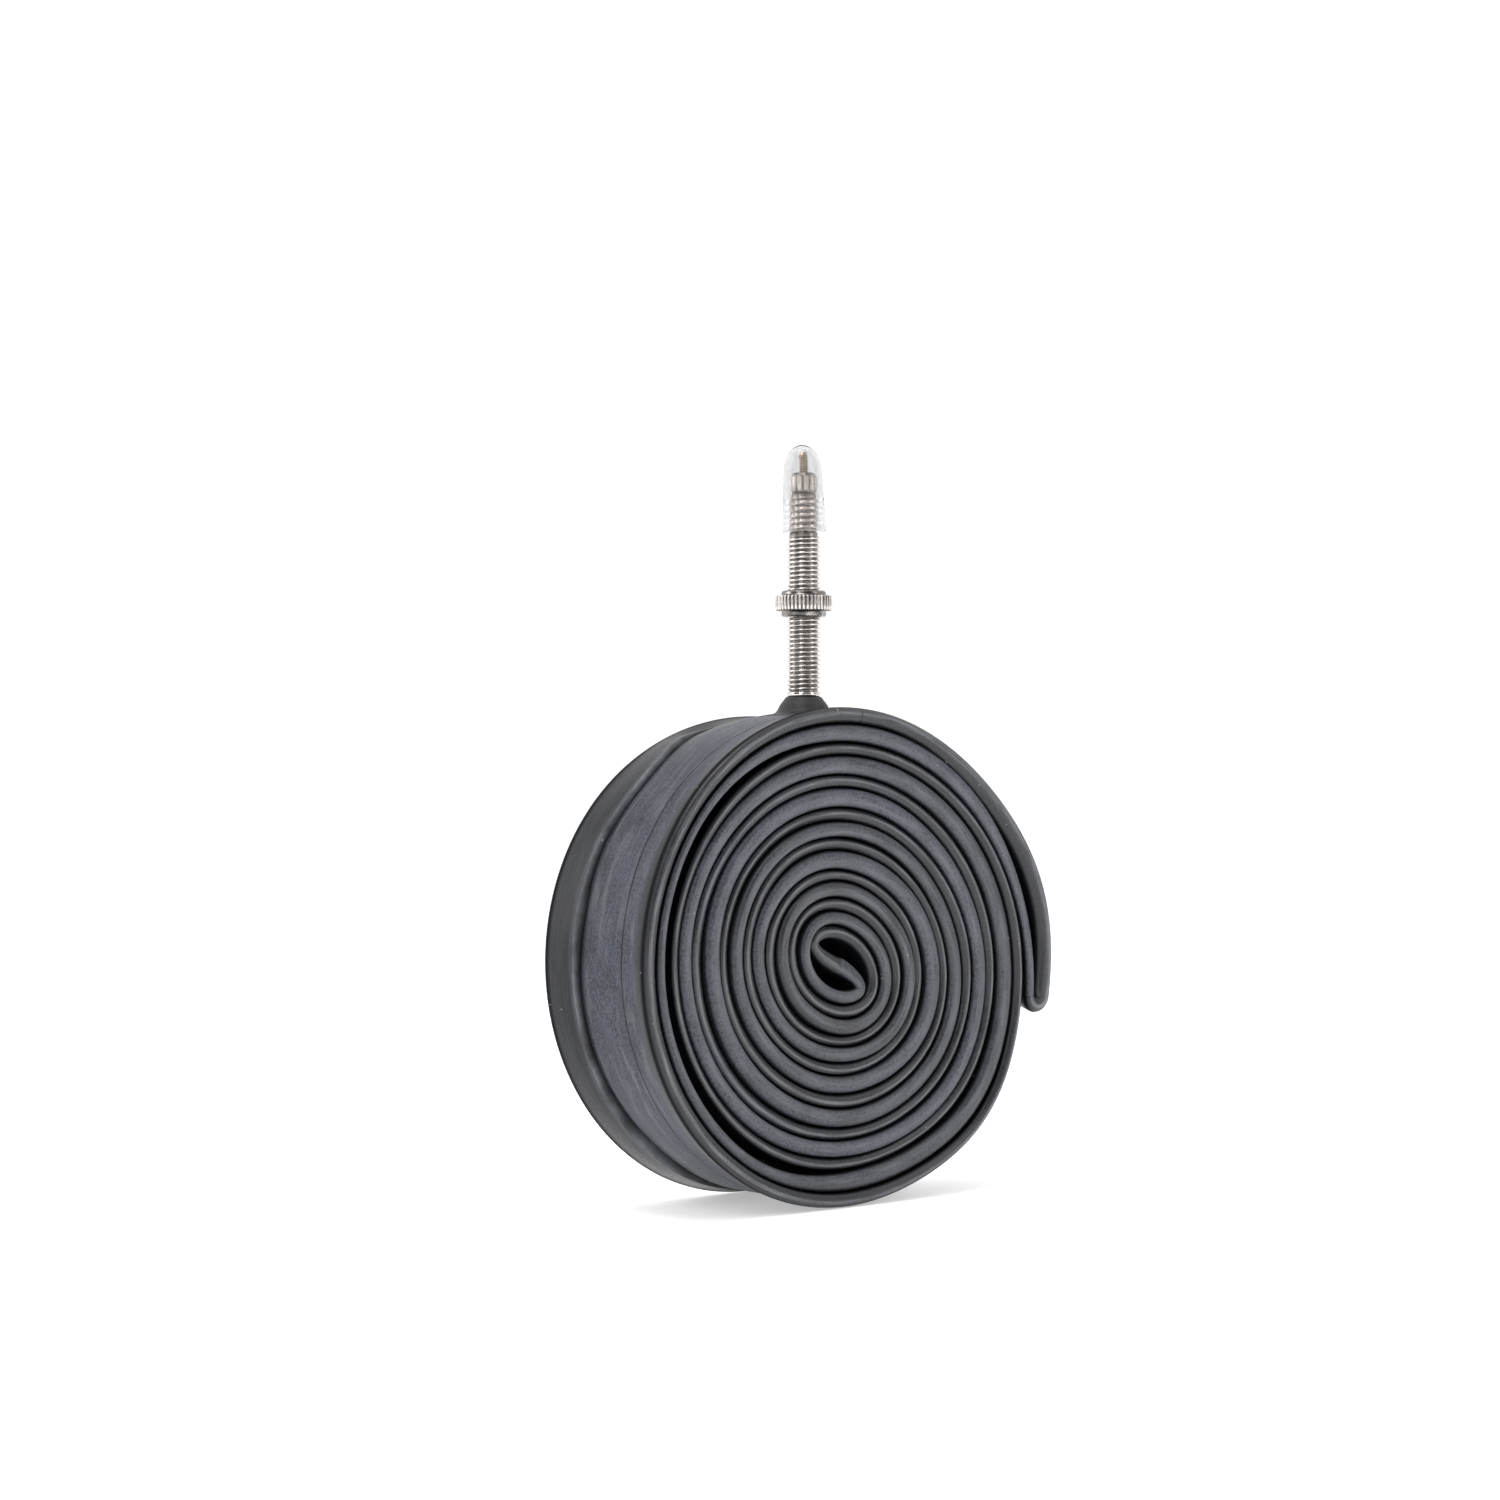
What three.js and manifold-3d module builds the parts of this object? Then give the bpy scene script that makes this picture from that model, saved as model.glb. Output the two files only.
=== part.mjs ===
// Bicycle inner tube: a butyl tube pressed flat, folded into a long closed loop and wound
// into a roll, with a slim pump valve standing up from its outer layer.
//
// Frame: millimetres, +Z up along the valve, the roll's axis along Y, the coiled face at -Y.
// The origin is the middle of the bounding box on the ground plane.
import * as THREE from 'three';
import { mergeVertices } from 'three/addons/utils/BufferGeometryUtils.js';
import Module from 'manifold-3d';

const wasm = await Module();
wasm.setup();

// ---------------------------------------------------------------- driving dimensions
const STRIP_WIDTH = 29;          // flattened tube, edge to edge, along Y
const STRIP_THICKNESS = 2.0;     // two walls and the air film between them
const AIR_FILM = 0.3;            // height of the hollow inside the flattened tube
const EDGE_WALL = 1.1;           // rubber left at the two folded edges

const LONG_AXIS_DEG = 145;       // direction of the oval core, from +X towards +Z
const LONG_RADIUS = [7.85, 2.33, 0.017];   // outer face along the oval: a + b h + c h^2
const SHORT_RADIUS = [5.45, 2.42, 0.0215]; // outer face across the oval, h in half turns
const CORE_START_DEG = 24;       // where each arm leaves the bend at its inner end
const STEP_DEG = 12;             // one wall facet; the same on every turn, so turns nest
const OUTER_ARM_END_DEG = 2676;  // the outer arm's winding angle at the hairpin
const VALVE_WINDING_DEG = 2580;  // its winding angle at the valve

const VALVE_SIDE = 3.8;          // valve axis to the right of the roll's centre
const VALVE_DIP = 1.3;           // how far the layers sink under the valve
const VALVE_DEG = 86;            // the valve's place round the roll, from +X towards +Z
const VALVE_DIP_HALF_DEG = 13;
const LOWER_BULGE = 1.9;         // the roll's lower right side, pushed out by the hairpin
const LOWER_BULGE_DEG = -38;
const LOWER_BULGE_HALF_DEG = 20;
const SIDE_SPREAD = 0.115;       // share by which the roll is wider on the hairpin's side
const SIDE_SPREAD_DEG = -12;
const SIDE_SPREAD_HALF_DEG = 57;
const WEDGE_LIFT = 1.7;          // the outer arm standing off the roll before the hairpin
const WEDGE_DROP = 0.6;          // the layer inside it, pressed towards the roll
const WEDGE_DEG = 12;
const WEDGE_HALF_DEG = 22;
const CORE_BEND_LEAD = [4.6, -0.9]; // handles of the curve through the roll's middle
const CORE_BEND_HOLD = 2.5;
const CORE_BEND_STEPS = 10;
const HAIRPIN_STEPS = 8;

const BASE_TOP = 46.5;           // top of the valve's rubber base above the roll's centre
const BASE_HEIGHT = 2.7;
const BASE_FOOT_RADIUS = 6.6;
const BASE_NECK_RADIUS = 3.2;
const BASE_FOOT_EDGE = 0.35;     // thickness of the foot's rim
const BASE_FLARE = [[5.1, -2.1], [4.3, -1.4], [3.8, -0.7], [3.4, -0.2]]; // radius, height
const FIT_GAP = 0.1;             // clearance between pieces that sit in each other
const TUBE_HOLE_RADIUS = 1.2;

const THREAD_RADIUS = 2.975;     // 6 mm valve stem
const THREAD_TOP = 28.6;         // heights from here on are above the rubber base
const STEM_TOP = 29.1;
const STEM_FOOT_BOTTOM = -2.3;
const STEM_FOOT_RADIUS = 4.0;
const STEM_FOOT_HEIGHT = 0.7;
const STEM_NECK_RADIUS = 2.5;
const STEM_TIP_RADIUS = 2.6;
const COLLAR = { radius: 2.85, bottom: 0.1, top: 0.8 };
const THREAD_BOTTOM = 1;
const STEM_BORE = 1.5;
const CORE_BORE = 2.15;
const CORE_SEAT = 15.2;
const SEAT_CONE = 0.8;

const NOSE_RADIUS = 2.55;        // 5.2 mm thread that takes the cap or the pump
const NOSE_BOTTOM = 29.2;
const NOSE_TOP = 35.9;
const NOSE_FLATS = 4.6;          // across the two spanner flats
const NOSE_FLATS_ABOVE = 0.6;    // where they start, above the nose's bottom
const NOSE_CHAMFER = [0.35, 0.4];
const CORE_SHANK_RADIUS = 2.0;
const CORE_BOTTOM = 16.0;
const CORE_TIP_RADIUS = 1.6;
const CORE_GROOVE_RADIUS = 1.45;
const CORE_GROOVE = [16.7, 18.1];
const PIN_HOLE_RADIUS = 0.98;

const PIN_RADIUS = 0.8;
const PIN_ROD_RADIUS = 0.6;
const PIN_THREAD_BOTTOM = 32.5;
const PIN_TOP = 43.3;
const PIN_HEAD = [12.4, 13.0];
const PIN_HEAD_RADIUS = 1.0;
const PIN_CHAMFER = 0.2;
const SEAL_RADIUS = 1.25;
const SEAL_TOP = 15.92;
const RUBBER_GAP = 0.06;         // between a rubber ring and the metal it sits on
const GASKET_RADIUS = 2.08;
const GASKET_END_GAP = 0.08;

const LOCK_NUT_RADIUS = 2.38;
const LOCK_NUT = [35.96, 39.6];
const LOCK_NUT_FLUTES = 12;
const LOCK_NUT_FLUTE_DEPTH = 0.22;
const LOCK_NUT_CORE_RADIUS = 2.05;
const LOCK_NUT_BAND = [36.46, 39.2];

const RIM_NUT = [14.1, 19.1];
const RIM_NUT_BAND = [15.2, 17.9];
const RIM_NUT_RADIUS = 5.05;
const RIM_NUT_SHOULDER = 4.0;
const RIM_NUT_HOLE = 3.2;
const RIM_NUT_FLUTES = 44;
const RIM_NUT_FLUTE_DEPTH = 0.3;
const RIM_NUT_TOP_CHAMFER = [0.6, 0.7];

const CAP_MOUTH = 29.2;
const CAP_APEX = 44.6;
const CAP_BORE = 2.86;
const CAP_TAPER = 0.1;           // how much narrower the bore is where its dome starts
const CAP_DOME_START = 39.4;
const CAP_DOME_RADIUS = 3.4;
const CAP_VAULT_START = 39.8;
const CAP_WALL = 0.75;
const CAP_SIDE = [[3.75, 29.2], [3.9, 29.5], [3.62, 35.4]]; // radius, height of its outside
const CAP_LEAN_DEG = 2.2;        // the cap sits a little askew on its thread
const CAP_LEAN_HEIGHT = 33;      // height that it leans about

const ROUND = 28;                // facets round the larger round pieces
const SMALL_ROUND = 20;

// ---------------------------------------------------------------- the wound strip
const rad = THREE.MathUtils.degToRad;
const quadratic = ([a, b, c], h) => a + b * h + c * h * h;
const hump = (deg, centre, half) => {
  const d = ((deg - centre + 540) % 360) - 180;
  return Math.exp(-((d / half) ** 2));
};

/** Middle of the strip at a winding angle: an oval spiral, with its local humps and dips. */
function woundPoint(arm, windingDeg) {
  const h = windingDeg / 180;
  const turn = rad(windingDeg + 180 * arm);
  const clock = (((LONG_AXIS_DEG - windingDeg - 180 * arm) % 360) + 360) % 360;
  const half = STRIP_THICKNESS / 2;
  const share = windingDeg / VALVE_WINDING_DEG;
  let out = -VALVE_DIP * hump(clock, VALVE_DEG, VALVE_DIP_HALF_DEG) * share ** 2;
  out += LOWER_BULGE * hump(clock, LOWER_BULGE_DEG, LOWER_BULGE_HALF_DEG) * share ** 4;
  if (windingDeg > VALVE_WINDING_DEG) out += WEDGE_LIFT * hump(clock, WEDGE_DEG, WEDGE_HALF_DEG);
  if (arm === 1 && windingDeg > VALVE_WINDING_DEG - 180) {
    out -= WEDGE_DROP * hump(clock, WEDGE_DEG, WEDGE_HALF_DEG);
  }
  const spread = 1 + SIDE_SPREAD * hump(clock, SIDE_SPREAD_DEG, SIDE_SPREAD_HALF_DEG);
  const long = (quadratic(LONG_RADIUS, h) - half + out) * spread * Math.cos(turn);
  const short = (quadratic(SHORT_RADIUS, h) - half + out) * spread * Math.sin(turn);
  return inRoll(long, short);
}

/** Along and across the oval to x and z in the roll; the arms run outwards clockwise. */
function inRoll(long, short) {
  const a = rad(LONG_AXIS_DEG);
  return new THREE.Vector2(
    long * Math.cos(a) + short * Math.sin(a),
    long * Math.sin(a) - short * Math.cos(a),
  );
}

/** The S-shaped middle: from the roll's centre round the tight bend to where an arm starts. */
function coreBend(arm) {
  const side = arm === 0 ? 1 : -1;
  const end = woundPoint(arm, CORE_START_DEG);
  const ahead = woundPoint(arm, CORE_START_DEG + 1).sub(end).normalize();
  const curve = new THREE.CubicBezierCurve(
    new THREE.Vector2(0, 0),
    inRoll(...CORE_BEND_LEAD.map((value) => value * side)),
    end.clone().addScaledVector(ahead, -CORE_BEND_HOLD),
    end,
  );
  return curve.getPoints(CORE_BEND_STEPS).slice(1, -1);
}

/** The closed middle line: out along one arm, round the hairpin, and back along the other. */
function stripLoop() {
  const arm = (index, lastDeg) => {
    const points = coreBend(index);
    for (let deg = CORE_START_DEG; deg <= lastDeg; deg += STEP_DEG) {
      points.push(woundPoint(index, deg));
    }
    return points;
  };
  const outer = arm(0, OUTER_ARM_END_DEG);
  const inner = arm(1, OUTER_ARM_END_DEG - 180);
  const from = outer.at(-1);
  const to = inner.at(-1);
  const middle = from.clone().add(to).multiplyScalar(0.5);
  const bend = [];
  for (let k = 1; k < HAIRPIN_STEPS; k += 1) {
    bend.push(from.clone().rotateAround(middle, (-Math.PI * k) / HAIRPIN_STEPS));
  }
  return [new THREE.Vector2(0, 0), ...outer, ...bend, ...inner.reverse()];
}

/** Both sides of a band of the given thickness laid along the closed loop. */
function bandSides(loop, thickness) {
  const count = loop.length;
  return [1, -1].map((side) => loop.map((point, i) => {
    const along = loop[(i + 1) % count].clone().sub(loop[(i + count - 1) % count]).normalize();
    return new THREE.Vector2(-along.y, along.x).multiplyScalar((side * thickness) / 2).add(point);
  }));
}

/** A band of the strip's course, of the given thickness, reaching from -width/2 to +width/2. */
function bandSolid(loop, thickness, width) {
  const sides = bandSides(loop, thickness);
  sides.sort((a, b) => Math.abs(THREE.ShapeUtils.area(b)) - Math.abs(THREE.ShapeUtils.area(a)));
  const outline = THREE.ShapeUtils.isClockWise(sides[0]) ? sides[0].reverse() : sides[0];
  const shape = new THREE.Shape(outline);
  shape.holes.push(new THREE.Path(sides[1]));
  const geometry = new THREE.ExtrudeGeometry(shape, { depth: width, bevelEnabled: false });
  geometry.translate(0, 0, -width / 2);
  return geometry.rotateX(Math.PI / 2);
}

// ---------------------------------------------------------------- closed solids
/** Manifold solid of a closed three.js geometry. */
function toSolid(geometry) {
  const bare = geometry.clone();
  bare.deleteAttribute('normal');
  bare.deleteAttribute('uv');
  const merged = mergeVertices(bare, 1e-5);
  const mesh = new wasm.Mesh({
    numProp: 3,
    vertProperties: new Float32Array(merged.attributes.position.array),
    triVerts: new Uint32Array(merged.index.array),
  });
  return new wasm.Manifold(mesh);
}

/** three.js geometry of a manifold solid. */
function toGeometry(solid) {
  const mesh = solid.getMesh();
  const geometry = new THREE.BufferGeometry();
  geometry.setAttribute('position', new THREE.BufferAttribute(mesh.vertProperties, 3));
  geometry.setIndex(new THREE.BufferAttribute(mesh.triVerts, 1));
  geometry.computeVertexNormals();
  return geometry;
}

/** Turned piece about Z from [radius, height] points, listed anticlockwise round the metal. */
function turned(points, segments = ROUND) {
  const profile = points.map(([r, z]) => new THREE.Vector2(r, z));
  if (points[0][0] > 0) profile.push(profile[0].clone());
  return new THREE.LatheGeometry(profile, segments).rotateX(Math.PI / 2);
}

/** Upright prism with a fluted outline of the given crest radius and flute depth. */
function fluted(radius, depth, flutes, [bottom, top]) {
  const outline = [];
  for (let k = 0; k < flutes * 4; k += 1) {
    const r = radius - (k % 4 < 2 ? 0 : depth);
    const a = (2 * Math.PI * (k + 0.5)) / (flutes * 4);
    outline.push(new THREE.Vector2(r * Math.cos(a), r * Math.sin(a)));
  }
  const settings = { depth: top - bottom, bevelEnabled: false };
  return new THREE.ExtrudeGeometry(new THREE.Shape(outline), settings).translate(0, 0, bottom);
}

const rod = (radius, bottom, top, segments = SMALL_ROUND) =>
  turned([[0, bottom], [radius, bottom], [radius, top], [0, top]], segments);

// ---------------------------------------------------------------- the pieces
function tubeGeometry(loop) {
  const surface = BASE_TOP - BASE_HEIGHT;
  const hole = rod(TUBE_HOLE_RADIUS, surface - 0.75 * STRIP_THICKNESS, surface + STRIP_THICKNESS);
  hole.translate(VALVE_SIDE, 0, 0);
  const skin = toSolid(bandSolid(loop, STRIP_THICKNESS, STRIP_WIDTH));
  const air = toSolid(bandSolid(loop, AIR_FILM, STRIP_WIDTH - 2 * EDGE_WALL));
  return toGeometry(skin.subtract(air).subtract(toSolid(hole)));
}

function valveBaseGeometry() {
  const neck = STEM_NECK_RADIUS + FIT_GAP;
  const foot = STEM_FOOT_RADIUS + FIT_GAP;
  const pocketTop = STEM_FOOT_BOTTOM + STEM_FOOT_HEIGHT + FIT_GAP;
  const pocketBottom = STEM_FOOT_BOTTOM - FIT_GAP;
  return turned([
    [TUBE_HOLE_RADIUS, -BASE_HEIGHT], [BASE_FOOT_RADIUS, -BASE_HEIGHT],
    [BASE_FOOT_RADIUS, -BASE_HEIGHT + BASE_FOOT_EDGE], ...BASE_FLARE,
    [BASE_NECK_RADIUS, 0], [neck, 0], [neck, pocketTop], [foot, pocketTop],
    [foot, pocketBottom], [TUBE_HOLE_RADIUS, pocketBottom],
  ]);
}

function valveStemGeometry() {
  const footTop = STEM_FOOT_BOTTOM + STEM_FOOT_HEIGHT;
  return turned([
    [STEM_BORE, STEM_FOOT_BOTTOM], [STEM_FOOT_RADIUS, STEM_FOOT_BOTTOM],
    [STEM_FOOT_RADIUS, footTop], [STEM_NECK_RADIUS, footTop], [STEM_NECK_RADIUS, COLLAR.bottom],
    [COLLAR.radius, COLLAR.bottom], [COLLAR.radius, COLLAR.top], [THREAD_RADIUS, THREAD_BOTTOM],
    [THREAD_RADIUS, THREAD_TOP], [STEM_TIP_RADIUS, STEM_TOP], [CORE_BORE, STEM_TOP],
    [CORE_BORE, CORE_SEAT], [STEM_BORE, CORE_SEAT - SEAT_CONE],
  ]);
}

function rimNutGeometry() {
  const [bottom, top] = RIM_NUT;
  const [inwards, down] = RIM_NUT_TOP_CHAMFER;
  const body = turned([
    [0, bottom], [RIM_NUT_SHOULDER - inwards / 2, bottom],
    [RIM_NUT_SHOULDER, bottom + down / 2], [RIM_NUT_SHOULDER, top - down],
    [RIM_NUT_SHOULDER - inwards, top], [0, top],
  ]);
  const band = fluted(RIM_NUT_RADIUS, RIM_NUT_FLUTE_DEPTH, RIM_NUT_FLUTES, RIM_NUT_BAND);
  const hole = rod(RIM_NUT_HOLE, bottom - 1, top + 1, ROUND);
  return toGeometry(toSolid(body).add(toSolid(band)).subtract(toSolid(hole)));
}

function coreBodyGeometry() {
  const [low, high] = CORE_GROOVE;
  const [inwards, down] = NOSE_CHAMFER;
  const turnedBody = turned([
    [PIN_HOLE_RADIUS, CORE_BOTTOM], [CORE_TIP_RADIUS, CORE_BOTTOM],
    [CORE_SHANK_RADIUS, (CORE_BOTTOM + low) / 2], [CORE_SHANK_RADIUS, low],
    [CORE_GROOVE_RADIUS, low], [CORE_GROOVE_RADIUS, high],
    [CORE_SHANK_RADIUS, high], [CORE_SHANK_RADIUS, NOSE_BOTTOM], [NOSE_RADIUS, NOSE_BOTTOM],
    [NOSE_RADIUS, NOSE_TOP - down], [NOSE_RADIUS - inwards, NOSE_TOP],
    [PIN_HOLE_RADIUS, NOSE_TOP],
  ]);
  let solid = toSolid(turnedBody);
  const height = NOSE_TOP - NOSE_BOTTOM;
  const middle = NOSE_BOTTOM + NOSE_FLATS_ABOVE + height / 2;
  for (const side of [-1, 1]) {
    const flat = new THREE.BoxGeometry(NOSE_RADIUS, 4 * NOSE_RADIUS, height);
    flat.translate((side * (NOSE_FLATS + NOSE_RADIUS)) / 2, 0, middle);
    solid = solid.subtract(toSolid(flat));
  }
  return toGeometry(solid);
}

function coreGasketGeometry() {
  const bottom = CORE_GROOVE[0] + GASKET_END_GAP;
  const top = CORE_GROOVE[1] - GASKET_END_GAP;
  const inner = CORE_GROOVE_RADIUS + RUBBER_GAP;
  const edge = (GASKET_RADIUS - inner) / 4;
  return turned([
    [inner, bottom], [GASKET_RADIUS - edge, bottom], [GASKET_RADIUS, bottom + 2 * edge],
    [GASKET_RADIUS, top - 2 * edge], [GASKET_RADIUS - edge, top], [inner, top],
  ], SMALL_ROUND);
}

function corePinGeometry() {
  const [low, high] = PIN_HEAD;
  return turned([
    [0, low], [PIN_HEAD_RADIUS, low], [PIN_HEAD_RADIUS, high], [PIN_ROD_RADIUS, high],
    [PIN_ROD_RADIUS, PIN_THREAD_BOTTOM], [PIN_RADIUS, PIN_THREAD_BOTTOM + PIN_CHAMFER],
    [PIN_RADIUS, PIN_TOP - PIN_CHAMFER], [PIN_RADIUS - PIN_CHAMFER, PIN_TOP], [0, PIN_TOP],
  ], SMALL_ROUND);
}

function pinSealGeometry() {
  const bottom = PIN_HEAD[1] + RUBBER_GAP;
  const inner = PIN_ROD_RADIUS + RUBBER_GAP;
  return turned([
    [inner, bottom], [PIN_HEAD_RADIUS, bottom], [SEAL_RADIUS, bottom + SEAL_RADIUS / 3],
    [SEAL_RADIUS, SEAL_TOP], [inner, SEAL_TOP],
  ], SMALL_ROUND);
}

function lockNutGeometry() {
  const [bottom, top] = LOCK_NUT;
  const [bandLow, bandHigh] = LOCK_NUT_BAND;
  const body = fluted(LOCK_NUT_RADIUS, LOCK_NUT_FLUTE_DEPTH, LOCK_NUT_FLUTES, LOCK_NUT_BAND);
  const core = turned([
    [0, bottom], [CORE_SHANK_RADIUS, bottom], [LOCK_NUT_CORE_RADIUS, bandLow],
    [LOCK_NUT_CORE_RADIUS, bandHigh], [2 * PIN_RADIUS, top], [0, top],
  ]);
  const hole = rod(PIN_RADIUS + FIT_GAP, bottom - 1, top + 1);
  return toGeometry(toSolid(body).add(toSolid(core)).subtract(toSolid(hole)));
}

function dustCapGeometry() {
  const dome = (radius, apex, centre, count) => {
    const points = [];
    for (let k = 0; k <= count; k += 1) {
      const a = (Math.PI / 2) * (k / count);
      points.push([k === count ? 0 : radius * Math.cos(a), centre + (apex - centre) * Math.sin(a)]);
    }
    return points;
  };
  const outside = dome(CAP_DOME_RADIUS, CAP_APEX, CAP_DOME_START, 6);
  const vault = dome(CAP_BORE - CAP_TAPER, CAP_APEX - CAP_WALL, CAP_VAULT_START, 5);
  const profile = [...vault.reverse(), [CAP_BORE, CAP_MOUTH], ...CAP_SIDE, ...outside];
  const leaning = turned(profile);
  leaning.translate(0, 0, -CAP_LEAN_HEIGHT).rotateY(-rad(CAP_LEAN_DEG));
  return leaning.translate(0, 0, CAP_LEAN_HEIGHT);
}

// ---------------------------------------------------------------- materials
const finish = (color, roughness, metalness) =>
  new THREE.MeshStandardMaterial({ color, roughness, metalness });
const butyl = () => finish(0x2e3136, 0.62, 0);
const mouldedRubber = () => finish(0x1f2022, 0.7, 0);
const nickel = () => finish(0xb9b3aa, 0.28, 1);
const warmNickel = () => finish(0xa99a84, 0.33, 1);
const brass = () => finish(0xb0904f, 0.32, 1);
const clearPlastic = () => {
  const material = finish(0xe8ecee, 0.12, 0);
  material.transparent = true;
  material.opacity = 0.35;
  return material;
};

// ---------------------------------------------------------------- assembly
const loop = stripLoop();
const faces = bandSides(loop, STRIP_THICKNESS).flat();
const low = Math.min(...faces.map((p) => p.y));
const left = Math.min(...faces.map((p) => p.x));
const right = Math.max(...faces.map((p) => p.x));

const group = new THREE.Group();
const roll = new THREE.Group();
roll.position.set(-(left + right) / 2, 0, -low);
group.add(roll);
const valve = new THREE.Group();
valve.position.set(VALVE_SIDE, 0, BASE_TOP);
roll.add(valve);

function addPiece(parent, name, geometry, material) {
  const piece = new THREE.Mesh(geometry, material);
  piece.name = name;
  parent.add(piece);
}

addPiece(roll, 'tube', tubeGeometry(loop), butyl());
addPiece(valve, 'valve_base', valveBaseGeometry(), mouldedRubber());
addPiece(valve, 'valve_stem', valveStemGeometry(), nickel());
addPiece(valve, 'rim_nut', rimNutGeometry(), nickel());
addPiece(valve, 'core_body', coreBodyGeometry(), warmNickel());
addPiece(valve, 'core_gasket', coreGasketGeometry(), mouldedRubber());
addPiece(valve, 'core_pin', corePinGeometry(), brass());
addPiece(valve, 'pin_seal', pinSealGeometry(), mouldedRubber());
addPiece(valve, 'lock_nut', lockNutGeometry(), warmNickel());
addPiece(valve, 'dust_cap', dustCapGeometry(), clearPlastic());

export default group;
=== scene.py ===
"""Wound bicycle inner tube with its slim pump valve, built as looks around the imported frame.

Every length in the settings is in millimetres unless its unit says otherwise; meshes are in metres.
"""

import math

import bmesh
import bpy
import numpy as np
from bpy.props import FloatProperty, FloatVectorProperty, IntProperty, PointerProperty
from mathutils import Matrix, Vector


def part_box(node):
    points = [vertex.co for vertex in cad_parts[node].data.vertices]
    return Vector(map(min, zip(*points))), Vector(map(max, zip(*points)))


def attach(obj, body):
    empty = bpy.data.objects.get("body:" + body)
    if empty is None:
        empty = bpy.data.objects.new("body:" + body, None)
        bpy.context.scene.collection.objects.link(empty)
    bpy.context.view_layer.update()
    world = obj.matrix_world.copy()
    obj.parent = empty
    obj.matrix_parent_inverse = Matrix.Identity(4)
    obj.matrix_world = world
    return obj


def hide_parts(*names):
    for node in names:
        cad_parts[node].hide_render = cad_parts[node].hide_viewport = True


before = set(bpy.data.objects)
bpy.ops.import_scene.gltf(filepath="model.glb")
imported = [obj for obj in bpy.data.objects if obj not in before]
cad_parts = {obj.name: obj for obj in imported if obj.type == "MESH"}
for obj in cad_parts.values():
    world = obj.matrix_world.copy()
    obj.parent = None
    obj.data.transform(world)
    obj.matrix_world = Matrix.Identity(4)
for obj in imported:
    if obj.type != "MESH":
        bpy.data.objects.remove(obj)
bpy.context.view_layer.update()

bl_info = {
    "name": "Wound inner tube",
    "version": (1, 0, 0),
    "blender": (4, 5, 0),
    "location": "View3D > Sidebar > Inner tube",
    "description": "Builds a flattened, wound bicycle inner tube and its valve round a fixed frame",
    "category": "Add Mesh",
}

MM = 0.001
ROOT_BODY = "tube_and_valve"
STEM_LOW, STEM_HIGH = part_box("valve_stem")
BASE_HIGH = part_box("valve_base")[1].z
VALVE_X = (STEM_LOW.x + STEM_HIGH.x) / 2

# the course of the strip, in millimetres and half turns, as the frame's tube is wound
LONG_AXIS_DEG = 145
LONG_RADIUS = (7.85, 2.33, 0.017)
SHORT_RADIUS = (5.45, 2.42, 0.0215)
CORE_START_DEG = 24
OUTER_ARM_END_DEG = 2676
VALVE_WINDING_DEG = 2580
SPLICE_WINDING_DEG = 2582
VALVE_SIDE = 3.8
BASE_ABOVE_CENTRE = 46.5
ROLL_X = VALVE_X / MM - VALVE_SIDE
ROLL_Z = BASE_HIGH / MM - BASE_ABOVE_CENTRE
LAYER_AIR = 0.2
FACE_INSET = 0.2
SIDE_SPREAD, SIDE_SPREAD_DEG, SIDE_SPREAD_HALF_DEG = 0.115, -12, 57
LOWER_BULGE, LOWER_BULGE_DEG, LOWER_BULGE_HALF_DEG = 1.9, -38, 20
WEDGE_LIFT, WEDGE_DROP, WEDGE_DEG, WEDGE_HALF_DEG = 1.7, 0.6, 12, 22
LOOSE_SLIP, LOOSE_WINDING_DEG, LOOSE_HALF_DEG = 0.8, 2125, 62
OPEN_GAP = 1.4
CORE_LAYER, CORE_SWELL, CORE_LEAD, CORE_HOLD = 2.35, 0.75, (4.6, -0.9), 2.5
HAIRPIN_LAYER, HAIRPIN_SWELL, HAIRPIN_WINDING_DEG = 1.9, 0.85, 40
CORE_STATIONS, HAIRPIN_STATIONS = 30, 22

# the strip's section in column order: fold angles, shares of a face, and places by the pleat
REAR_FOLD_DEG = (0, 20, 40, 60, 78, 90)
RIGHT_FACE_PARTS = (0.2, 0.4, 0.6, 0.8)
FRONT_FOLD_DEG = (-90, -72, -54, -36, -22, -8, 8, 22, 36, 48, 60, 75, 90)
LEFT_FACE_PARTS = (0.1, 0.22, 0.36, 0.55, 0.78, 1.0)
PLEAT_COLUMNS = (-1.2, -0.5, -0.08, 0.1, 0.4, 1.4)
REAR_BAND_PARTS = (0.4, 0.75)
REAR_RETURN_DEG = REAR_FOLD_DEG[:0:-1]
PLEAT_NEAR = 2.4
FRONT_FOLD_AT = len(REAR_FOLD_DEG) + len(RIGHT_FACE_PARTS)
LEFT_FACE_AT = FRONT_FOLD_AT + len(FRONT_FOLD_DEG)
LEFT_FACE_COLUMNS = len(LEFT_FACE_PARTS) + len(PLEAT_COLUMNS) + len(REAR_BAND_PARTS)

# the valve, in millimetres from its axis and above the top of the rubber base
NOSE_PITCH = 1.058
BASE_JOIN, BASE_EDGE, BASE_UNDER = 6.1, 8.9, -3.4
RIM_FLUTE_DEPTH, LOCK_FLUTES, LOCK_FLUTE_DEPTH = 0.3, 12, 0.26
PIN_BEND, PIN_BEND_FROM = 0.012, 39.3
CAP_LEAN_DEG, CAP_LEAN_AT, CAP_THREAD_DEPTH = -2.2, 33, -0.11
BASE_COLUMNS, STEM_COLUMNS, PIN_COLUMNS, LOCK_COLUMNS, CAP_COLUMNS = 72, 40, 20, 96, 48
COLUMNS_PER_FLUTE = 8

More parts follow.
